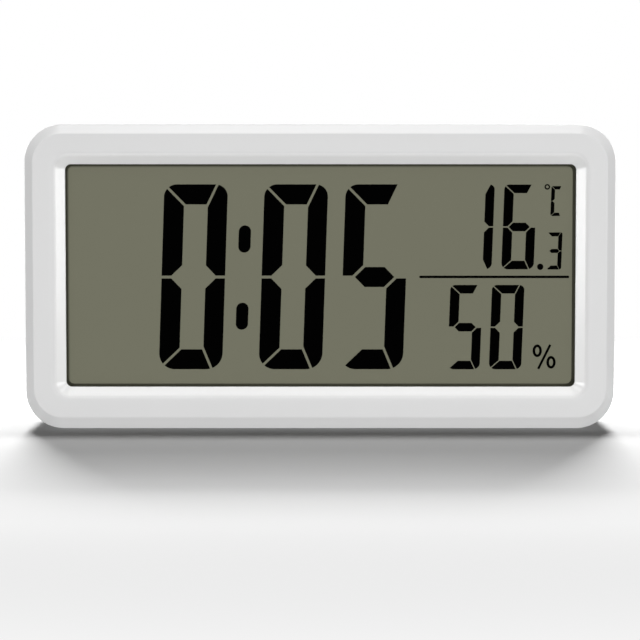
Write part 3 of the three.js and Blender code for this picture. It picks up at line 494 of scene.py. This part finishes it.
def drawn_metal_group():
    """Metal drawn or rolled in one direction: noise stretched along it moves colour and roughness."""
    group, given, result = new_group("drawn_metal", {
        "Colour": "NodeSocketColor",
        "Stretch": "NodeSocketVector",
        "Roughness": "NodeSocketFloat",
        "Streak": "NodeSocketFloat",
    })
    nodes, links = group.nodes, group.links
    place = vector_value(nodes, links, "MULTIPLY", object_place(nodes), given["Stretch"], 1)
    streak = noise(nodes, links, place, 1.0, DRAWN["detail"])
    shade = vary(nodes, links, streak, given["Streak"], 1.0)
    links.new(vector_value(nodes, links, "SCALE", given["Colour"], shade, "Scale"), result["Colour"])
    links.new(vary(nodes, links, streak, given["Streak"], given["Roughness"]), result["Roughness"])
    links.new(streak, result["Height"])
    return group


def tree_of(material):
    """Nodes and links of a material."""
    return material.node_tree.nodes, material.node_tree.links


def new_material(name):
    """Material with its nodes, links and Principled BSDF."""
    material = bpy.data.materials.new(name)
    material.use_nodes = True
    nodes, links = tree_of(material)
    return material, nodes, links, nodes["Principled BSDF"]


def grouped(name, group, values, bump, height):
    """Material whose colour, roughness and relief come from a node group with its own values."""
    material, nodes, links, shader = new_material(name)
    surface = nodes.new("ShaderNodeGroup")
    surface.name = "surface"
    surface.node_tree = group
    for socket, value in values.items():
        surface.inputs[socket].default_value = value
    relief = nodes.new("ShaderNodeBump")
    relief.inputs["Strength"].default_value = bump
    relief.inputs["Distance"].default_value = height * MM
    links.new(surface.outputs["Height"], relief.inputs["Height"])
    links.new(surface.outputs["Colour"], shader.inputs["Base Color"])
    links.new(surface.outputs["Roughness"], shader.inputs["Roughness"])
    links.new(relief.outputs["Normal"], shader.inputs["Normal"])
    return material, shader


def moulded(name, colour, roughness, grain=GRAIN["scale"], drift=GRAIN["drift"], spread=GRAIN["spread"],
            bump=GRAIN["bump"], specular=0.5, transmission=0.0):
    """Moulded or coated finish built on the grain group."""
    values = {"Colour": colour, "Drift": drift, "Grain": grain, "Roughness": roughness, "Spread": spread}
    material, shader = grouped(name, MOULDED_GRAIN, values, bump, GRAIN["height"])
    shader.inputs["Specular IOR Level"].default_value = specular
    shader.inputs["Transmission Weight"].default_value = transmission
    return material


def metal(name, colour, roughness, stretch=DRAWN["stretch"]):
    """Bright metal built on the drawn-metal group."""
    values = {"Colour": colour, "Stretch": stretch, "Roughness": roughness, "Streak": DRAWN["streak"]}
    material, shader = grouped(name, DRAWN_METAL, values, DRAWN["bump"], DRAWN["height"])
    shader.inputs["Metallic"].default_value = 1.0
    return material


def past_ends(nodes, links, place, low, high):
    """Distance of a place past the ends of a stretch given in mm, negative between them."""
    offset = blend_value(nodes, links, "SUBTRACT", place, float(low + high) / 2 * MM)
    reach = blend_value(nodes, links, "ABSOLUTE", offset)
    return blend_value(nodes, links, "SUBTRACT", reach, float(high - low) / 2 * MM)


def window_distance(nodes, links, rectangle):
    """Distance outside a rectangle with the window's corners, negative inside.

    An overshoot is the distance past the line of the corner centres in x or z. The distance is the
    length of the two positive overshoots, plus the larger one where both are negative, less the
    corner radius.
    """
    axes = object_axes(nodes, links)
    x0, x1, z0, z1 = grow(rectangle, -WINDOW_CORNER)
    overshoots = [past_ends(nodes, links, axes["X"], x0, x1), past_ends(nodes, links, axes["Z"], z0, z1)]
    positive = [blend_value(nodes, links, "MAXIMUM", overshoot, 0.0) for overshoot in overshoots]
    squares = [blend_value(nodes, links, "POWER", value, 2.0) for value in positive]
    outside = blend_value(nodes, links, "SQRT", blend_value(nodes, links, "ADD", *squares))
    inside = blend_value(nodes, links, "MINIMUM", blend_value(nodes, links, "MAXIMUM", *overshoots), 0.0)
    length = blend_value(nodes, links, "ADD", outside, inside)
    return blend_value(nodes, links, "SUBTRACT", length, WINDOW_CORNER * MM)


def smooth_range(nodes, links, value, start, end, first=0.0, last=1.0):
    """Smooth step of a value from one distance in mm to another, between two results."""
    fade = nodes.new("ShaderNodeMapRange")
    fade.interpolation_type = "SMOOTHSTEP"
    fade.inputs["From Min"].default_value = start * MM
    fade.inputs["From Max"].default_value = end * MM
    fade.inputs["To Min"].default_value = first
    fade.inputs["To Max"].default_value = last
    links.new(value, fade.inputs["Value"])
    return fade.outputs["Result"]


def repeat_fraction(nodes, links, place, pitch):
    """Fraction of a repeat at a place, for a pitch in mm."""
    count = blend_value(nodes, links, "MULTIPLY", place, 1 / (pitch * MM))
    return blend_value(nodes, links, "FRACT", count)


def two_colours(nodes, links, share, first, second):
    """Takes a moulded finish from one colour to another by a share that changes over the surface."""
    mix = nodes.new("ShaderNodeMix")
    mix.data_type = "RGBA"
    mix.inputs["A"].default_value = first
    mix.inputs["B"].default_value = second
    links.new(share, mix.inputs["Factor"])
    links.new(mix.outputs["Result"], nodes["surface"].inputs["Colour"])


def polished_bezel_with_painted_light():
    """White moulding whose sloping bezel is polished and given painted light that makes it whiter, and
    whose face is satin.
    """
    material = moulded("white_front", WHITE_COLOUR, SATIN)
    nodes, links = tree_of(material)
    distance = window_distance(nodes, links, WINDOW)
    away = smooth_range(nodes, links, distance, *POLISH_FADE)
    # Painted light: near the window the bezel is whiter than the rest of the moulding.
    two_colours(nodes, links, away, BEZEL_PAINTED_LIGHT_COLOUR, WHITE_COLOUR)
    rough = smooth_range(nodes, links, distance, *POLISH_FADE, POLISH, SATIN)
    links.new(rough, nodes["surface"].inputs["Roughness"])
    return material


def display_film():
    """Olive-grey film with painted shade: darker within a short distance of the window's edge, where the
    bezel's recess shades it.
    """
    material = moulded("display_film", FILM_COLOUR, roughness=0.6, drift=0.02, bump=0.0, specular=0.0)
    nodes, links = tree_of(material)
    # Painted shade: the film darkens towards the window's edge, where the bezel's recess shades it.
    edge = smooth_range(nodes, links, window_distance(nodes, links, FILM_SHADE), -EDGE_SHADE, 0.0)
    two_colours(nodes, links, edge, FILM_COLOUR, FILM_PAINTED_SHADE_COLOUR)
    return material


def clear_lens():
    """Clear window: nothing shows head on, and its sheen grows as the square of the turn away."""
    material, nodes, links, shader = new_material("clear_lens")
    shader.inputs["Base Color"].default_value = LENS_COLOUR
    shader.inputs["Roughness"].default_value = LENS_ROUGHNESS
    weight = nodes.new("ShaderNodeLayerWeight")
    square = blend_value(nodes, links, "POWER", weight.outputs["Facing"], 2.0)
    links.new(blend_value(nodes, links, "MULTIPLY", square, LENS_SHEEN), shader.inputs["Alpha"])
    return material


def zebra_rubber():
    """Layered rubber whose dark and pale layers alternate across the clock.

    The place in x divided by the pitch has a fraction; past the share of the dark layers it is pale.
    """
    material = moulded("zebra_rubber", RUBBER_DARK, roughness=0.7)
    nodes, links = tree_of(material)
    fraction = repeat_fraction(nodes, links, object_axes(nodes, links)["X"], RUBBER_PITCH)
    pale = blend_value(nodes, links, "GREATER_THAN", fraction, RUBBER_SHARE)
    two_colours(nodes, links, pale, RUBBER_DARK, RUBBER_PALE)
    return material


def circuit_board():
    """Green resist over copper tracks: upright and level lines at two pitches, in turn by noise."""
    material = moulded("circuit_board", BOARD_COLOUR, roughness=0.4, drift=0.1)
    nodes, links = tree_of(material)
    axes = object_axes(nodes, links)
    lines = []
    for axis, pitch in TRACK_PITCHES.items():
        fraction = repeat_fraction(nodes, links, axes[axis], pitch)
        lines.append(blend_value(nodes, links, "LESS_THAN", fraction, TRACK_SHARE))
    patches = noise(nodes, links, object_place(nodes), TRACK_PATCHES)
    patch = blend_value(nodes, links, "GREATER_THAN", patches, NOISE_MIDDLE)
    upright = blend_value(nodes, links, "MULTIPLY", lines[0], patch)
    rest = blend_value(nodes, links, "SUBTRACT", 1.0, patch)
    tracks = blend_value(nodes, links, "MULTIPLY_ADD", lines[1], rest, upright)
    two_colours(nodes, links, tracks, BOARD_COLOUR, TRACK_COLOUR)
    return material


def cell_sleeve(name, low, high):
    """Printed sleeve of a battery cell: dark, with a copper-coloured band between two heights in mm."""
    material = moulded(name, CELL_COLOUR, roughness=0.3, grain=1200.0, drift=0.12)
    nodes, links = tree_of(material)
    distance = past_ends(nodes, links, object_axes(nodes, links)["Z"], low, high)
    outside = smooth_range(nodes, links, distance, -CELL["band_fade"], CELL["band_fade"])
    two_colours(nodes, links, outside, BAND_COLOUR, CELL_COLOUR)
    nodes["Principled BSDF"].inputs["Metallic"].default_value = CELL["metallic"]
    return material


MOULDED_GRAIN = moulded_grain_group()
DRAWN_METAL = drawn_metal_group()
WHITE = moulded("white_case", WHITE_COLOUR, SATIN)
WHITE_FRONT = polished_bezel_with_painted_light()
INK = moulded("display_ink", INK_COLOUR, roughness=0.6, bump=0.0, specular=0.0)
FOAM = moulded("black_foam", FOAM_COLOUR, roughness=0.9, specular=0.1)
FILM = display_film()
LENS = clear_lens()
NATURAL = moulded("natural_plastic", NATURAL_COLOUR, roughness=0.5)
EPOXY = moulded("black_component", EPOXY_COLOUR, roughness=0.45, grain=900.0, spread=0.2, bump=0.06)
GLASS = moulded("display_glass", GLASS_COLOUR, roughness=0.05, bump=0.0, transmission=1.0)
ZEBRA = zebra_rubber()
BOARD = circuit_board()
STEEL = metal("plated_steel", STEEL_COLOUR, roughness=0.26)
REFLECTOR = metal("reflector", REFLECTOR_COLOUR, roughness=0.38, stretch=EVEN_STRETCH)
RED_LEAD = moulded("red_lead", RED_COLOUR, roughness=0.45)
BLACK_LEAD = moulded("black_lead", BLACK_COLOUR, roughness=0.45)


# Front of the clock

def case_front():
    """Front half of the case: one closed section carried round window and outline.

    The section runs from the window's back edge up its land and sloping bezel, over the flat face,
    down the outer chamfer and side to the parting edge, and back along the inner wall.
    """
    bezel_back = BEVEL_DEPTH + WINDOW_LAND
    bezel = round_corners(
        [(0, bezel_back), (0, BEVEL_DEPTH), (BEVEL_WIDTH, 0), (BEVEL_WIDTH + FACE_MARGIN, 0)],
        [LAND_ROUND, BEVEL_ROUND],
    )
    side = round_corners(
        [(-FRONT_CHAMFER - FACE_MARGIN, 0), (-FRONT_CHAMFER, 0), (0, FRONT_CHAMFER), (0, PARTING),
         (-CASE_WALL / 2, PARTING)],
        [FACE_ROUND, CHAMFER_ROUND, PARTING_ROUND],
    )
    inside = [(-CASE_WALL, PARTING), (-CASE_WALL, bezel_back)]
    window_gain = (BEVEL_CORNER - WINDOW_CORNER) / BEVEL_WIDTH
    rows = np.concatenate([
        carry(bezel, WINDOW, WINDOW_CORNER, window_gain, side_gain=BEVEL_SIDE_GAIN),
        carry(side, OUTLINE, CORNER_RADIUS, lower_gain=LOWER_CHAMFER / FRONT_CHAMFER),
        carry(inside, OUTLINE, CORNER_RADIUS),
    ])
    add_piece("case_front", [skin(rows, wrap=True)], WHITE_FRONT, "case", ["front_frame"])


def keep_left(outline, start, end, margin=0.0):
    """Part of a convex outline that lies left of a line by at least a margin.

    Each point's signed distance is the cross product with the line's unit direction; edges that
    change sign gain the point where they meet the shifted line.
    """
    start, end = np.asarray(start, float), np.asarray(end, float)
    along = (end - start) / np.linalg.norm(end - start)
    offset = outline - start
    side = along[0] * offset[:, 1] - along[1] * offset[:, 0] - margin
    following = np.roll(outline, -1, axis=0)
    side_following = np.roll(side, -1)
    crossing = (side >= 0) != (side_following >= 0)
    share = side / np.where(crossing, side - side_following, 1)
    meeting = outline + share[:, None] * (following - outline)
    both = np.stack([outline, meeting], axis=1)
    return both[np.stack([side >= 0, crossing], axis=1)]


def stroke(letter, width, height, left, right, level, slit, gap, corner, shoulder):
    """One stroke of a seven-stroke figure: the rounded outline of the figure cut by straight lines.

    a, b, f and g are cut as they stand. d, c and e are a, b and f turned over, with a rounder corner.
    """
    if letter in MIRRORED:
        foot = FOOT_GAIN * corner
        turned = stroke(MIRRORED[letter], width, height, left, right, level, slit, gap, foot, shoulder)
        return turned[::-1] * (1, -1) + (0, height)
    half = slit / 2
    rise = level / 2
    low = (height + gap) / 2
    left_flat, right_flat = FLAT_SHARE * left, FLAT_SHARE * right
    left_edge, right_edge = left, width - right
    top_edge, upper, middle, lower = height - level, height / 2 + rise, height / 2, height / 2 - rise
    left_tip, right_tip = TIP_SHARE * left, width - TIP_SHARE * right
    left_outer, left_inner = (0, height), (left_edge, top_edge)
    right_outer, right_inner = (width - shoulder, height), (right_edge, top_edge)
    base = ((0, low), (width, low))
    lines = {
        "a": [((0, top_edge), (width, top_edge)), (left_outer, left_inner, half),
              (right_inner, right_outer, half)],
        "b": [((right_edge, height), (right_edge, 0)), (right_outer, right_inner, half), base,
              ((right_edge, low + right - right_flat), (width - right_flat, low))],
        "f": [((left_edge, 0), (left_edge, height)), (left_inner, left_outer, half), base,
              ((left_flat, low), (left_edge, low + left - left_flat))],
        "g": [((width, upper), (0, upper)), ((0, lower), (width, lower)),
              ((left_tip + rise, upper), (left_tip, middle)),
              ((left_tip, middle), (left_tip + rise, lower)),
              ((right_tip - rise, lower), (right_tip, middle)),
              ((right_tip, middle), (right_tip - rise, upper))],
    }
    outline = rounded((0, width, 0, height), corner)
    for line in lines[letter]:
        outline = keep_left(outline, *line)
    return outline


def lean(outline):
    """Outline leaning to the right: x grows by the display's slant times z."""
    return outline + np.outer(outline[:, 1], (SLANT, 0))


def inked(outline):
    """Outline about the display's middle as a thin dark solid on the film."""
    return prism(outline + DISPLAY_MIDDLE, STROKE_FRONT, FILM_FRONT)


def figures(places, size):
    """Lit strokes of a row of figures, with the left end of each base at its place."""
    return [inked(lean(stroke(letter, **size)) + place) for mark, place in places for letter in LIT[mark]]


def ellipse(place, half_width, half_height):
    """Points of an ellipse: half its width times the cosine, half its height times the sine."""
    angle = np.linspace(0, 2 * np.pi, LATHE_STEPS, endpoint=False)
    return np.stack([half_width * np.cos(angle), half_height * np.sin(angle)], axis=1) + place


def inked_ring(place, half_width, half_height, width):
    """Elliptical ring as a thin dark solid: outer and inner ellipse at both depths, closed all round."""
    outer = ellipse(place, half_width, half_height) + DISPLAY_MIDDLE
    inner = ellipse(place, half_width - width, half_height - width) + DISPLAY_MIDDLE
    rows = [np.insert(ring, 1, FACE + depth, axis=1) for ring, depth in (
        (outer, STROKE_FRONT), (outer, FILM_FRONT), (inner, FILM_FRONT), (inner, STROKE_FRONT))]
    return skin(np.stack(rows), wrap=True)


def pill(place, width, height):
    """Upright slot shape with round ends, leaning with the figures."""
    return lean(rounded(np.array([-width, width, -height, height]) / 2, width / 2)) + place


def bar(start, end, width):
    """Straight bar between two points, half its width to each side."""
    start, end = np.array(start), np.array(end)
    along = (end - start) / np.linalg.norm(end - start)
    across = np.array([-along[1], along[0]]) * width / 2
    return np.array([start - across, end - across, end + across, start + across])


def display_face():
    """Film of the display and everything lit on it; gives back the pieces."""
    film = prism(rounded(face_rectangle("lcd_polarizer"), FILM_CORNER), FILM_FRONT,
                 FILM_FRONT + FILM_THICKNESS)
    pieces = [add_piece("display_film", [film], FILM, "case", ["lcd_polarizer"])]

    time = figures(TIME_PLACES, TIME_FIGURE)
    time += [inked(pill(place, COLON["width"], COLON["height"])) for place in COLON["places"]]

    climate = figures(TEMPERATURE_PLACES, CLIMATE_FIGURE)
    climate += figures(TENTHS_PLACES, TENTHS_FIGURE)
    climate += figures(UNIT_PLACES, UNIT_FIGURE)
    climate += [inked(ellipse(POINT["place"], POINT["radius"], POINT["radius"]))]
    climate += [inked_ring(DEGREE["place"], DEGREE["radius"], DEGREE["radius"], DEGREE["stroke"])]

    humid = figures(HUMIDITY_PLACES, CLIMATE_FIGURE)
    humid += [inked_ring(place, PERCENT["half_width"], PERCENT["half_height"], PERCENT["stroke"])
              for place in PERCENT["rings"]]
    humid += [inked(bar(*PERCENT["slash"], PERCENT["slash_width"]))]

    half = DIVIDER["thickness"] / 2
    line = (DIVIDER["left"], DIVIDER["right"], DIVIDER["level"] - half, DIVIDER["level"] + half)
    divider = [inked(rounded(line, half))]

    for name, skins in (("time_figures", time), ("temperature_figures", climate),
                        ("humidity_figures", humid), ("divider_line", divider)):
        pieces.append(add_piece(name, skins, INK, "case"))
    return pieces


# Back of the clock

def softened(name, node, finish, body):
    """A moulding with its sharp edges rounded.

    A copy of the solid is merged, its flat faces are joined, and its edges are then bevelled.
    """
    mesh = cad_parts[node].data.copy()
    mesh.name = name
    merged = bmesh.new()
    merged.from_mesh(mesh)
    bmesh.ops.remove_doubles(merged, verts=merged.verts, dist=MERGE_DISTANCE * MM)
    bmesh.ops.dissolve_limit(merged, angle_limit=math.radians(FLAT_ANGLE), verts=merged.verts,
                             edges=merged.edges)
    merged.to_mesh(mesh)
    merged.free()
    mesh.shade_smooth()
    piece = seat(name, mesh, finish, body, [node])
    bevel = piece.modifiers.new("edges", "BEVEL")
    bevel.limit_method = "ANGLE"
    bevel.angle_limit = math.radians(CREASE_ANGLE)
    bevel.width = EDGE_ROUND * MM
    bevel.segments = EDGE_STEPS
    normals = piece.modifiers.new("flats", "WEIGHTED_NORMAL")
    normals.weight = FLAT_WEIGHT
    normals.mode = "FACE_AREA"


def battery_cell(name, node, plus_up):
    """Battery cell: a can with a raised nub at its plus end, in a sleeve that laps over both ends.

    Both are profiles of (radius, height) points turned about the cell's upright axis. The sleeve's
    profile runs up outside and back down inside, the can's from its foot to its nub.
    """
    low, high = node_box(node)
    axis = (0, 0, 1 if plus_up else -1)
    centre = ((low[0] + high[0]) / 2, (low[1] + high[1]) / 2, low[2] if plus_up else high[2])
    edge, wrap, nub, fillet = CELL["edge"], CELL["wrap"], CELL["nub"], CELL["fillet"]
    radius = (high[0] - low[0]) / 2
    length = high[2] - low[2]
    shoulder = length - CELL["nub_height"]
    rise = shoulder - wrap
    inner = radius - wrap
    lap = radius - CELL["lap"]
    outside = round_corners([(lap, 0), (radius, 0), (radius, shoulder), (lap, shoulder)], [edge] * 2)
    inside = round_corners([(lap, rise), (inner, rise), (inner, wrap), (lap, wrap)], [edge] * 2)
    sleeve = skin(lathe(np.concatenate([outside, inside]), centre, axis), wrap=True)
    band = sorted(centre[2] + axis[2] * shoulder * np.array(CELL["band"]))
    finish = cell_sleeve(name + "_sleeve", *band)
    add_piece(name + "_sleeve", [sleeve], finish, "case", [node])
    can = round_corners(
        [(nub / 2, wrap), (inner - edge, wrap), (inner - edge, rise), (nub, rise), (nub, length),
         (nub / 2, length)],
        [fillet, fillet, fillet, CELL["nub_edge"]],
    )
    add_piece(name + "_can", [skin(lathe(can, centre, axis))], STEEL, "case")


def spring(x, y, start, up):
    """Conical spring: its radius falls evenly from the first to the last turn while it rises."""
    share = np.linspace(0, 1, SPRING["steps"])
    angle = 2 * np.pi * SPRING["turns"] * share
    radius = SPRING["radius"] + (SPRING["tip_radius"] - SPRING["radius"]) * share
    height = start + up * SPRING["rise"] * share
    route = np.stack([x + radius * np.cos(angle), y + radius * np.sin(angle), height], axis=1)
    return skin(wire(route, SPRING["wire"] / 2))


def battery_contacts():
    """Plated contacts: two plates with tabs at the top of the bay, a link at its foot, two springs."""
    half_tab = CONTACT["tab"] / 2
    cell_x, cell_y, _ = np.mean(node_box("battery_left"), axis=0)
    plate_z = node_box("battery_contact_positive")[0][2]
    for end in ("positive", "negative"):
        low, high = node_box("battery_contact_" + end)
        x = (low[0] + high[0]) / 2
        skins = [strip((low[0], high[0], low[1], high[1]), plate_z),
                 strip((x - half_tab, x + half_tab, plate_z, high[2]), low[1], upright=True)]
        if end == "negative":
            skins.append(spring(x, cell_y, plate_z, -1))
        add_piece("contact_" + end, skins, STEEL, "case", ["battery_contact_" + end])
    low, high = node_box("battery_link")
    skins = [strip((low[0], high[0], low[1], high[1]), low[2]),
             spring(cell_x, cell_y, low[2] + CONTACT["thickness"], 1)]
    add_piece("contact_link", skins, STEEL, "case", ["battery_link"])


def rear_axis(node):
    """Middle of the rear side of a solid, and its length from back to front."""
    low, high = node_box(node)
    centre = (low + high) / 2
    centre[1] = high[1]
    return centre, high[1] - low[1]


def button_cap(node):
    """Button: dished cap with a rounded edge, a flange that keeps it in the case and a stem, turned.

    The dish is deepest on the axis and rises with the square of the distance from it.
    """
    centre, length = rear_axis(node)
    radius, stem, fillet = BUTTON["radius"], BUTTON["stem"], BUTTON["fillet"]
    flange, back, front = BUTTON["flange"], BUTTON["flange_back"], BUTTON["flange_front"]
    share = np.linspace(BUTTON["dish_from"], 1, BUTTON["dish_steps"])
    crown = np.stack([share * (radius - 2 * BUTTON["edge"]), BUTTON["dish"] * (1 - share ** 2)], axis=1)
    rim = round_corners(
        [crown[-1], (radius, 0), (radius, back), (flange, back), (flange, front), (stem, front),
         (stem, length)],
        [BUTTON["edge"], fillet, fillet, fillet, fillet],
    )
    cap = skin(lathe(np.concatenate([crown[:-1], rim]), centre, FORWARD))
    add_piece(node + "_cap", [cap], WHITE, node, [node])


def screw_head(node):
    """Cross-head screw: a turned shank and head whose domed top sinks in where the cross is.

    On the top, the depth of the cross is a product of two ramps from 0 to 1: one of the smaller of
    the distances to the two arms' middle lines, one of the distance from the axis.
    """
    centre, length = rear_axis(node)
    radius, dome, shank, height = SCREW["radius"], SCREW["dome"], SCREW["shank"], SCREW["height"]
    share = np.linspace(SCREW["dome_from"], 1, SCREW["dome_steps"])
    top = np.stack([share * (radius - SCREW["edge"]), dome * share ** 2], axis=1)
    side = [(radius, SCREW["edge"] + dome), (radius, height), (shank, height), (shank, length)]
    points = lathe(np.concatenate([top, side]), centre, FORWARD, SCREW["facets"])
    offset = points[:len(top), :, [0, 2]] - centre[[0, 2]]
    nearest = np.abs(offset).min(axis=2)
    across = np.clip((SCREW["arm"] + SCREW["arm_fade"] / 2 - nearest) / SCREW["arm_fade"], 0, 1)
    along = np.clip((SCREW["reach"] - np.linalg.norm(offset, axis=2)) / SCREW["reach_fade"], 0, 1)
    points[:len(top), :, 1] -= SCREW["recess"] * across * along
    add_piece(node + "_head", [skin(points)], STEEL, "case", [node])


def dress(finish, *nodes):
    """Gives solids that stay as they are their finish."""
    for node in nodes:
        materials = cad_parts[node].data.materials
        materials.clear()
        materials.append(finish)


# Stage

def camera():
    """Camera looking down a little at the face, with the photograph's frame and place of the clock."""
    pitch = math.radians(CAMERA_PITCH)
    data = bpy.data.cameras.new("camera")
    data.sensor_width = SENSOR
    data.lens = SENSOR * CAMERA_DISTANCE / FRAME_WIDTH
    view = bpy.data.objects.new("camera", data)
    view.location = np.array([0, FACE - CAMERA_DISTANCE * math.cos(pitch),
                              CAMERA_AIM + CAMERA_DISTANCE * math.sin(pitch)]) * MM
    view.rotation_euler = (math.pi / 2 - pitch, 0, 0)
    bpy.context.scene.collection.objects.link(view)
    bpy.context.scene.camera = view


def seen_directly(nodes, links):
    """1 for rays from the camera, a reflection or through glass, 0 for rays that light surfaces."""
    path = nodes.new("ShaderNodeLightPath").outputs
    glossy = blend_value(nodes, links, "MAXIMUM", path["Is Camera Ray"], path["Is Glossy Ray"])
    return blend_value(nodes, links, "MAXIMUM", glossy, path["Is Transmission Ray"])


def surroundings():
    """White surroundings that light the clock at the ambient level."""
    world = bpy.data.worlds.new("surroundings")
    bpy.context.scene.world = world
    world.use_nodes = True
    nodes, links = world.node_tree.nodes, world.node_tree.links
    level = nodes.new("ShaderNodeMapRange")
    level.inputs["To Min"].default_value = AMBIENT
    level.inputs["To Max"].default_value = 1.0
    links.new(seen_directly(nodes, links), level.inputs["Value"])
    nodes["Background"].inputs["Color"].default_value = (1, 1, 1, 1)
    links.new(level.outputs["Result"], nodes["Background"].inputs["Strength"])


def floor():
    """Wide pale floor: it takes the clock's shadow, and away from the clock it turns plain white.

    It throws no light back, so that the clock is lit by its own lamps alone, and no shadow, because
    two of these lamps stand below it.
    """
    half = FLOOR_SIZE / 2 * MM
    corners = [(-half, -half, 0), (half, -half, 0), (half, half, 0), (-half, half, 0)]
    mesh = bpy.data.meshes.new("floor")
    mesh.from_pydata(corners, [], [(0, 1, 2, 3)])
    material, nodes, links, shader = new_material("floor")
    shader.inputs["Base Color"].default_value = FLOOR_COLOUR
    shader.inputs["Roughness"].default_value = FLOOR_ROUGHNESS
    shader.inputs["Specular IOR Level"].default_value = 0.0
    reach = nodes.new("ShaderNodeVectorMath")
    reach.operation = "LENGTH"
    links.new(object_place(nodes), reach.inputs[0])
    far = smooth_range(nodes, links, reach.outputs["Value"], *FLOOR_WHITE)
    share = blend_value(nodes, links, "MULTIPLY", far, seen_directly(nodes, links))
    white = nodes.new("ShaderNodeEmission")
    mix = nodes.new("ShaderNodeMixShader")
    links.new(share, mix.inputs["Fac"])
    links.new(shader.outputs["BSDF"], mix.inputs[1])
    links.new(white.outputs["Emission"], mix.inputs[2])
    links.new(mix.outputs["Shader"], nodes["Material Output"].inputs["Surface"])
    mesh.materials.append(material)
    ground = bpy.data.objects.new("floor", mesh)
    bpy.context.scene.collection.objects.link(ground)
    ground.visible_diffuse = False
    ground.visible_shadow = False
    return ground


def soft_box(name, azimuth, elevation, distance, width, height, watts):
    """Area lamp on a sphere about the middle of the clock, facing it; azimuth 0 is the front."""
    turn, lift = math.radians(azimuth), math.radians(elevation)
    away = np.array([math.sin(turn) * math.cos(lift), -math.cos(turn) * math.cos(lift), math.sin(lift)])
    data = bpy.data.lights.new(name, "AREA")
    data.shape = "RECTANGLE"
    data.size = width * MM
    data.size_y = height * MM
    data.energy = watts
    lamp = bpy.data.objects.new(name, data)
    lamp.location = (away * distance + (0, 0, OUTLINE[3] / 2)) * MM
    lamp.rotation_euler = (math.pi / 2 - lift, 0, turn)
    lamp.visible_camera = False
    bpy.context.scene.collection.objects.link(lamp)
    return lamp


def studio(display):
    """Floor, lamps that light the case, one that lights the display and lamps that light the floor.

    The display is lit from straight in front, so that the bezel throws no shade on it. The floor takes
    its light from behind only, so that the clock's shadow falls towards the camera.
    """
    ground = floor()
    floor_lamps = {
        f"floor_{azimuth}_{elevation}": (azimuth, elevation, FLOOR_PAIR["distance"], FLOOR_PAIR["width"],
                                         FLOOR_PAIR["height"], watts)
        for azimuth in FLOOR_PAIR["azimuths"]
        for elevation, watts in FLOOR_PAIRS.items()
    }
    for use, lamps, objects, state in (("case", CASE_LAMPS, [ground, *display], "EXCLUDE"),
                                       ("display", DISPLAY_LAMPS, display, "INCLUDE"),
                                       ("floor", floor_lamps, [ground], "INCLUDE")):
        receivers = bpy.data.collections.new(f"light_on_{use}")
        for piece in objects:
            receivers.objects.link(piece)
        for linked in receivers.collection_objects:
            linked.light_linking.link_state = state
        for name, place in lamps.items():
            soft_box(name, *place).light_linking.receiver_collection = receivers


bpy.context.scene.view_settings.view_transform = "Standard"
camera()
surroundings()
studio(display_face())

case_front()
dress(LENS, "display_lens")
dress(FOAM, "dust_gasket")
softened("case_back", "rear_cover", WHITE, "case")
softened("door_panel", "battery_door", WHITE, "battery_door")
softened("stand_panel", "stand", WHITE, "stand")
battery_cell("cell_left", "battery_left", plus_up=True)
battery_cell("cell_right", "battery_right", plus_up=False)
battery_contacts()
for action in ("set", "up", "down", "unit"):
    button_cap(f"{action}_button")
    dress(EPOXY, f"tact_switch_{action}")
    dress(NATURAL, f"switch_plunger_{action}")
for number in range(1, SCREWS + 1):
    screw_head(f"case_screw_{number}")
    dress(STEEL, f"board_screw_{number}")
dress(GLASS, "lcd_front_glass", "lcd_rear_glass")
dress(REFLECTOR, "lcd_reflector")
dress(NATURAL, "lcd_holder")
dress(ZEBRA, "zebra_strip_top", "zebra_strip_bottom")
dress(BOARD, "main_board")
dress(EPOXY, "controller_chip", "climate_sensor")
dress(STEEL, "crystal", "stand_pin")
dress(RED_LEAD, "battery_lead_red")
dress(BLACK_LEAD, "battery_lead_black")
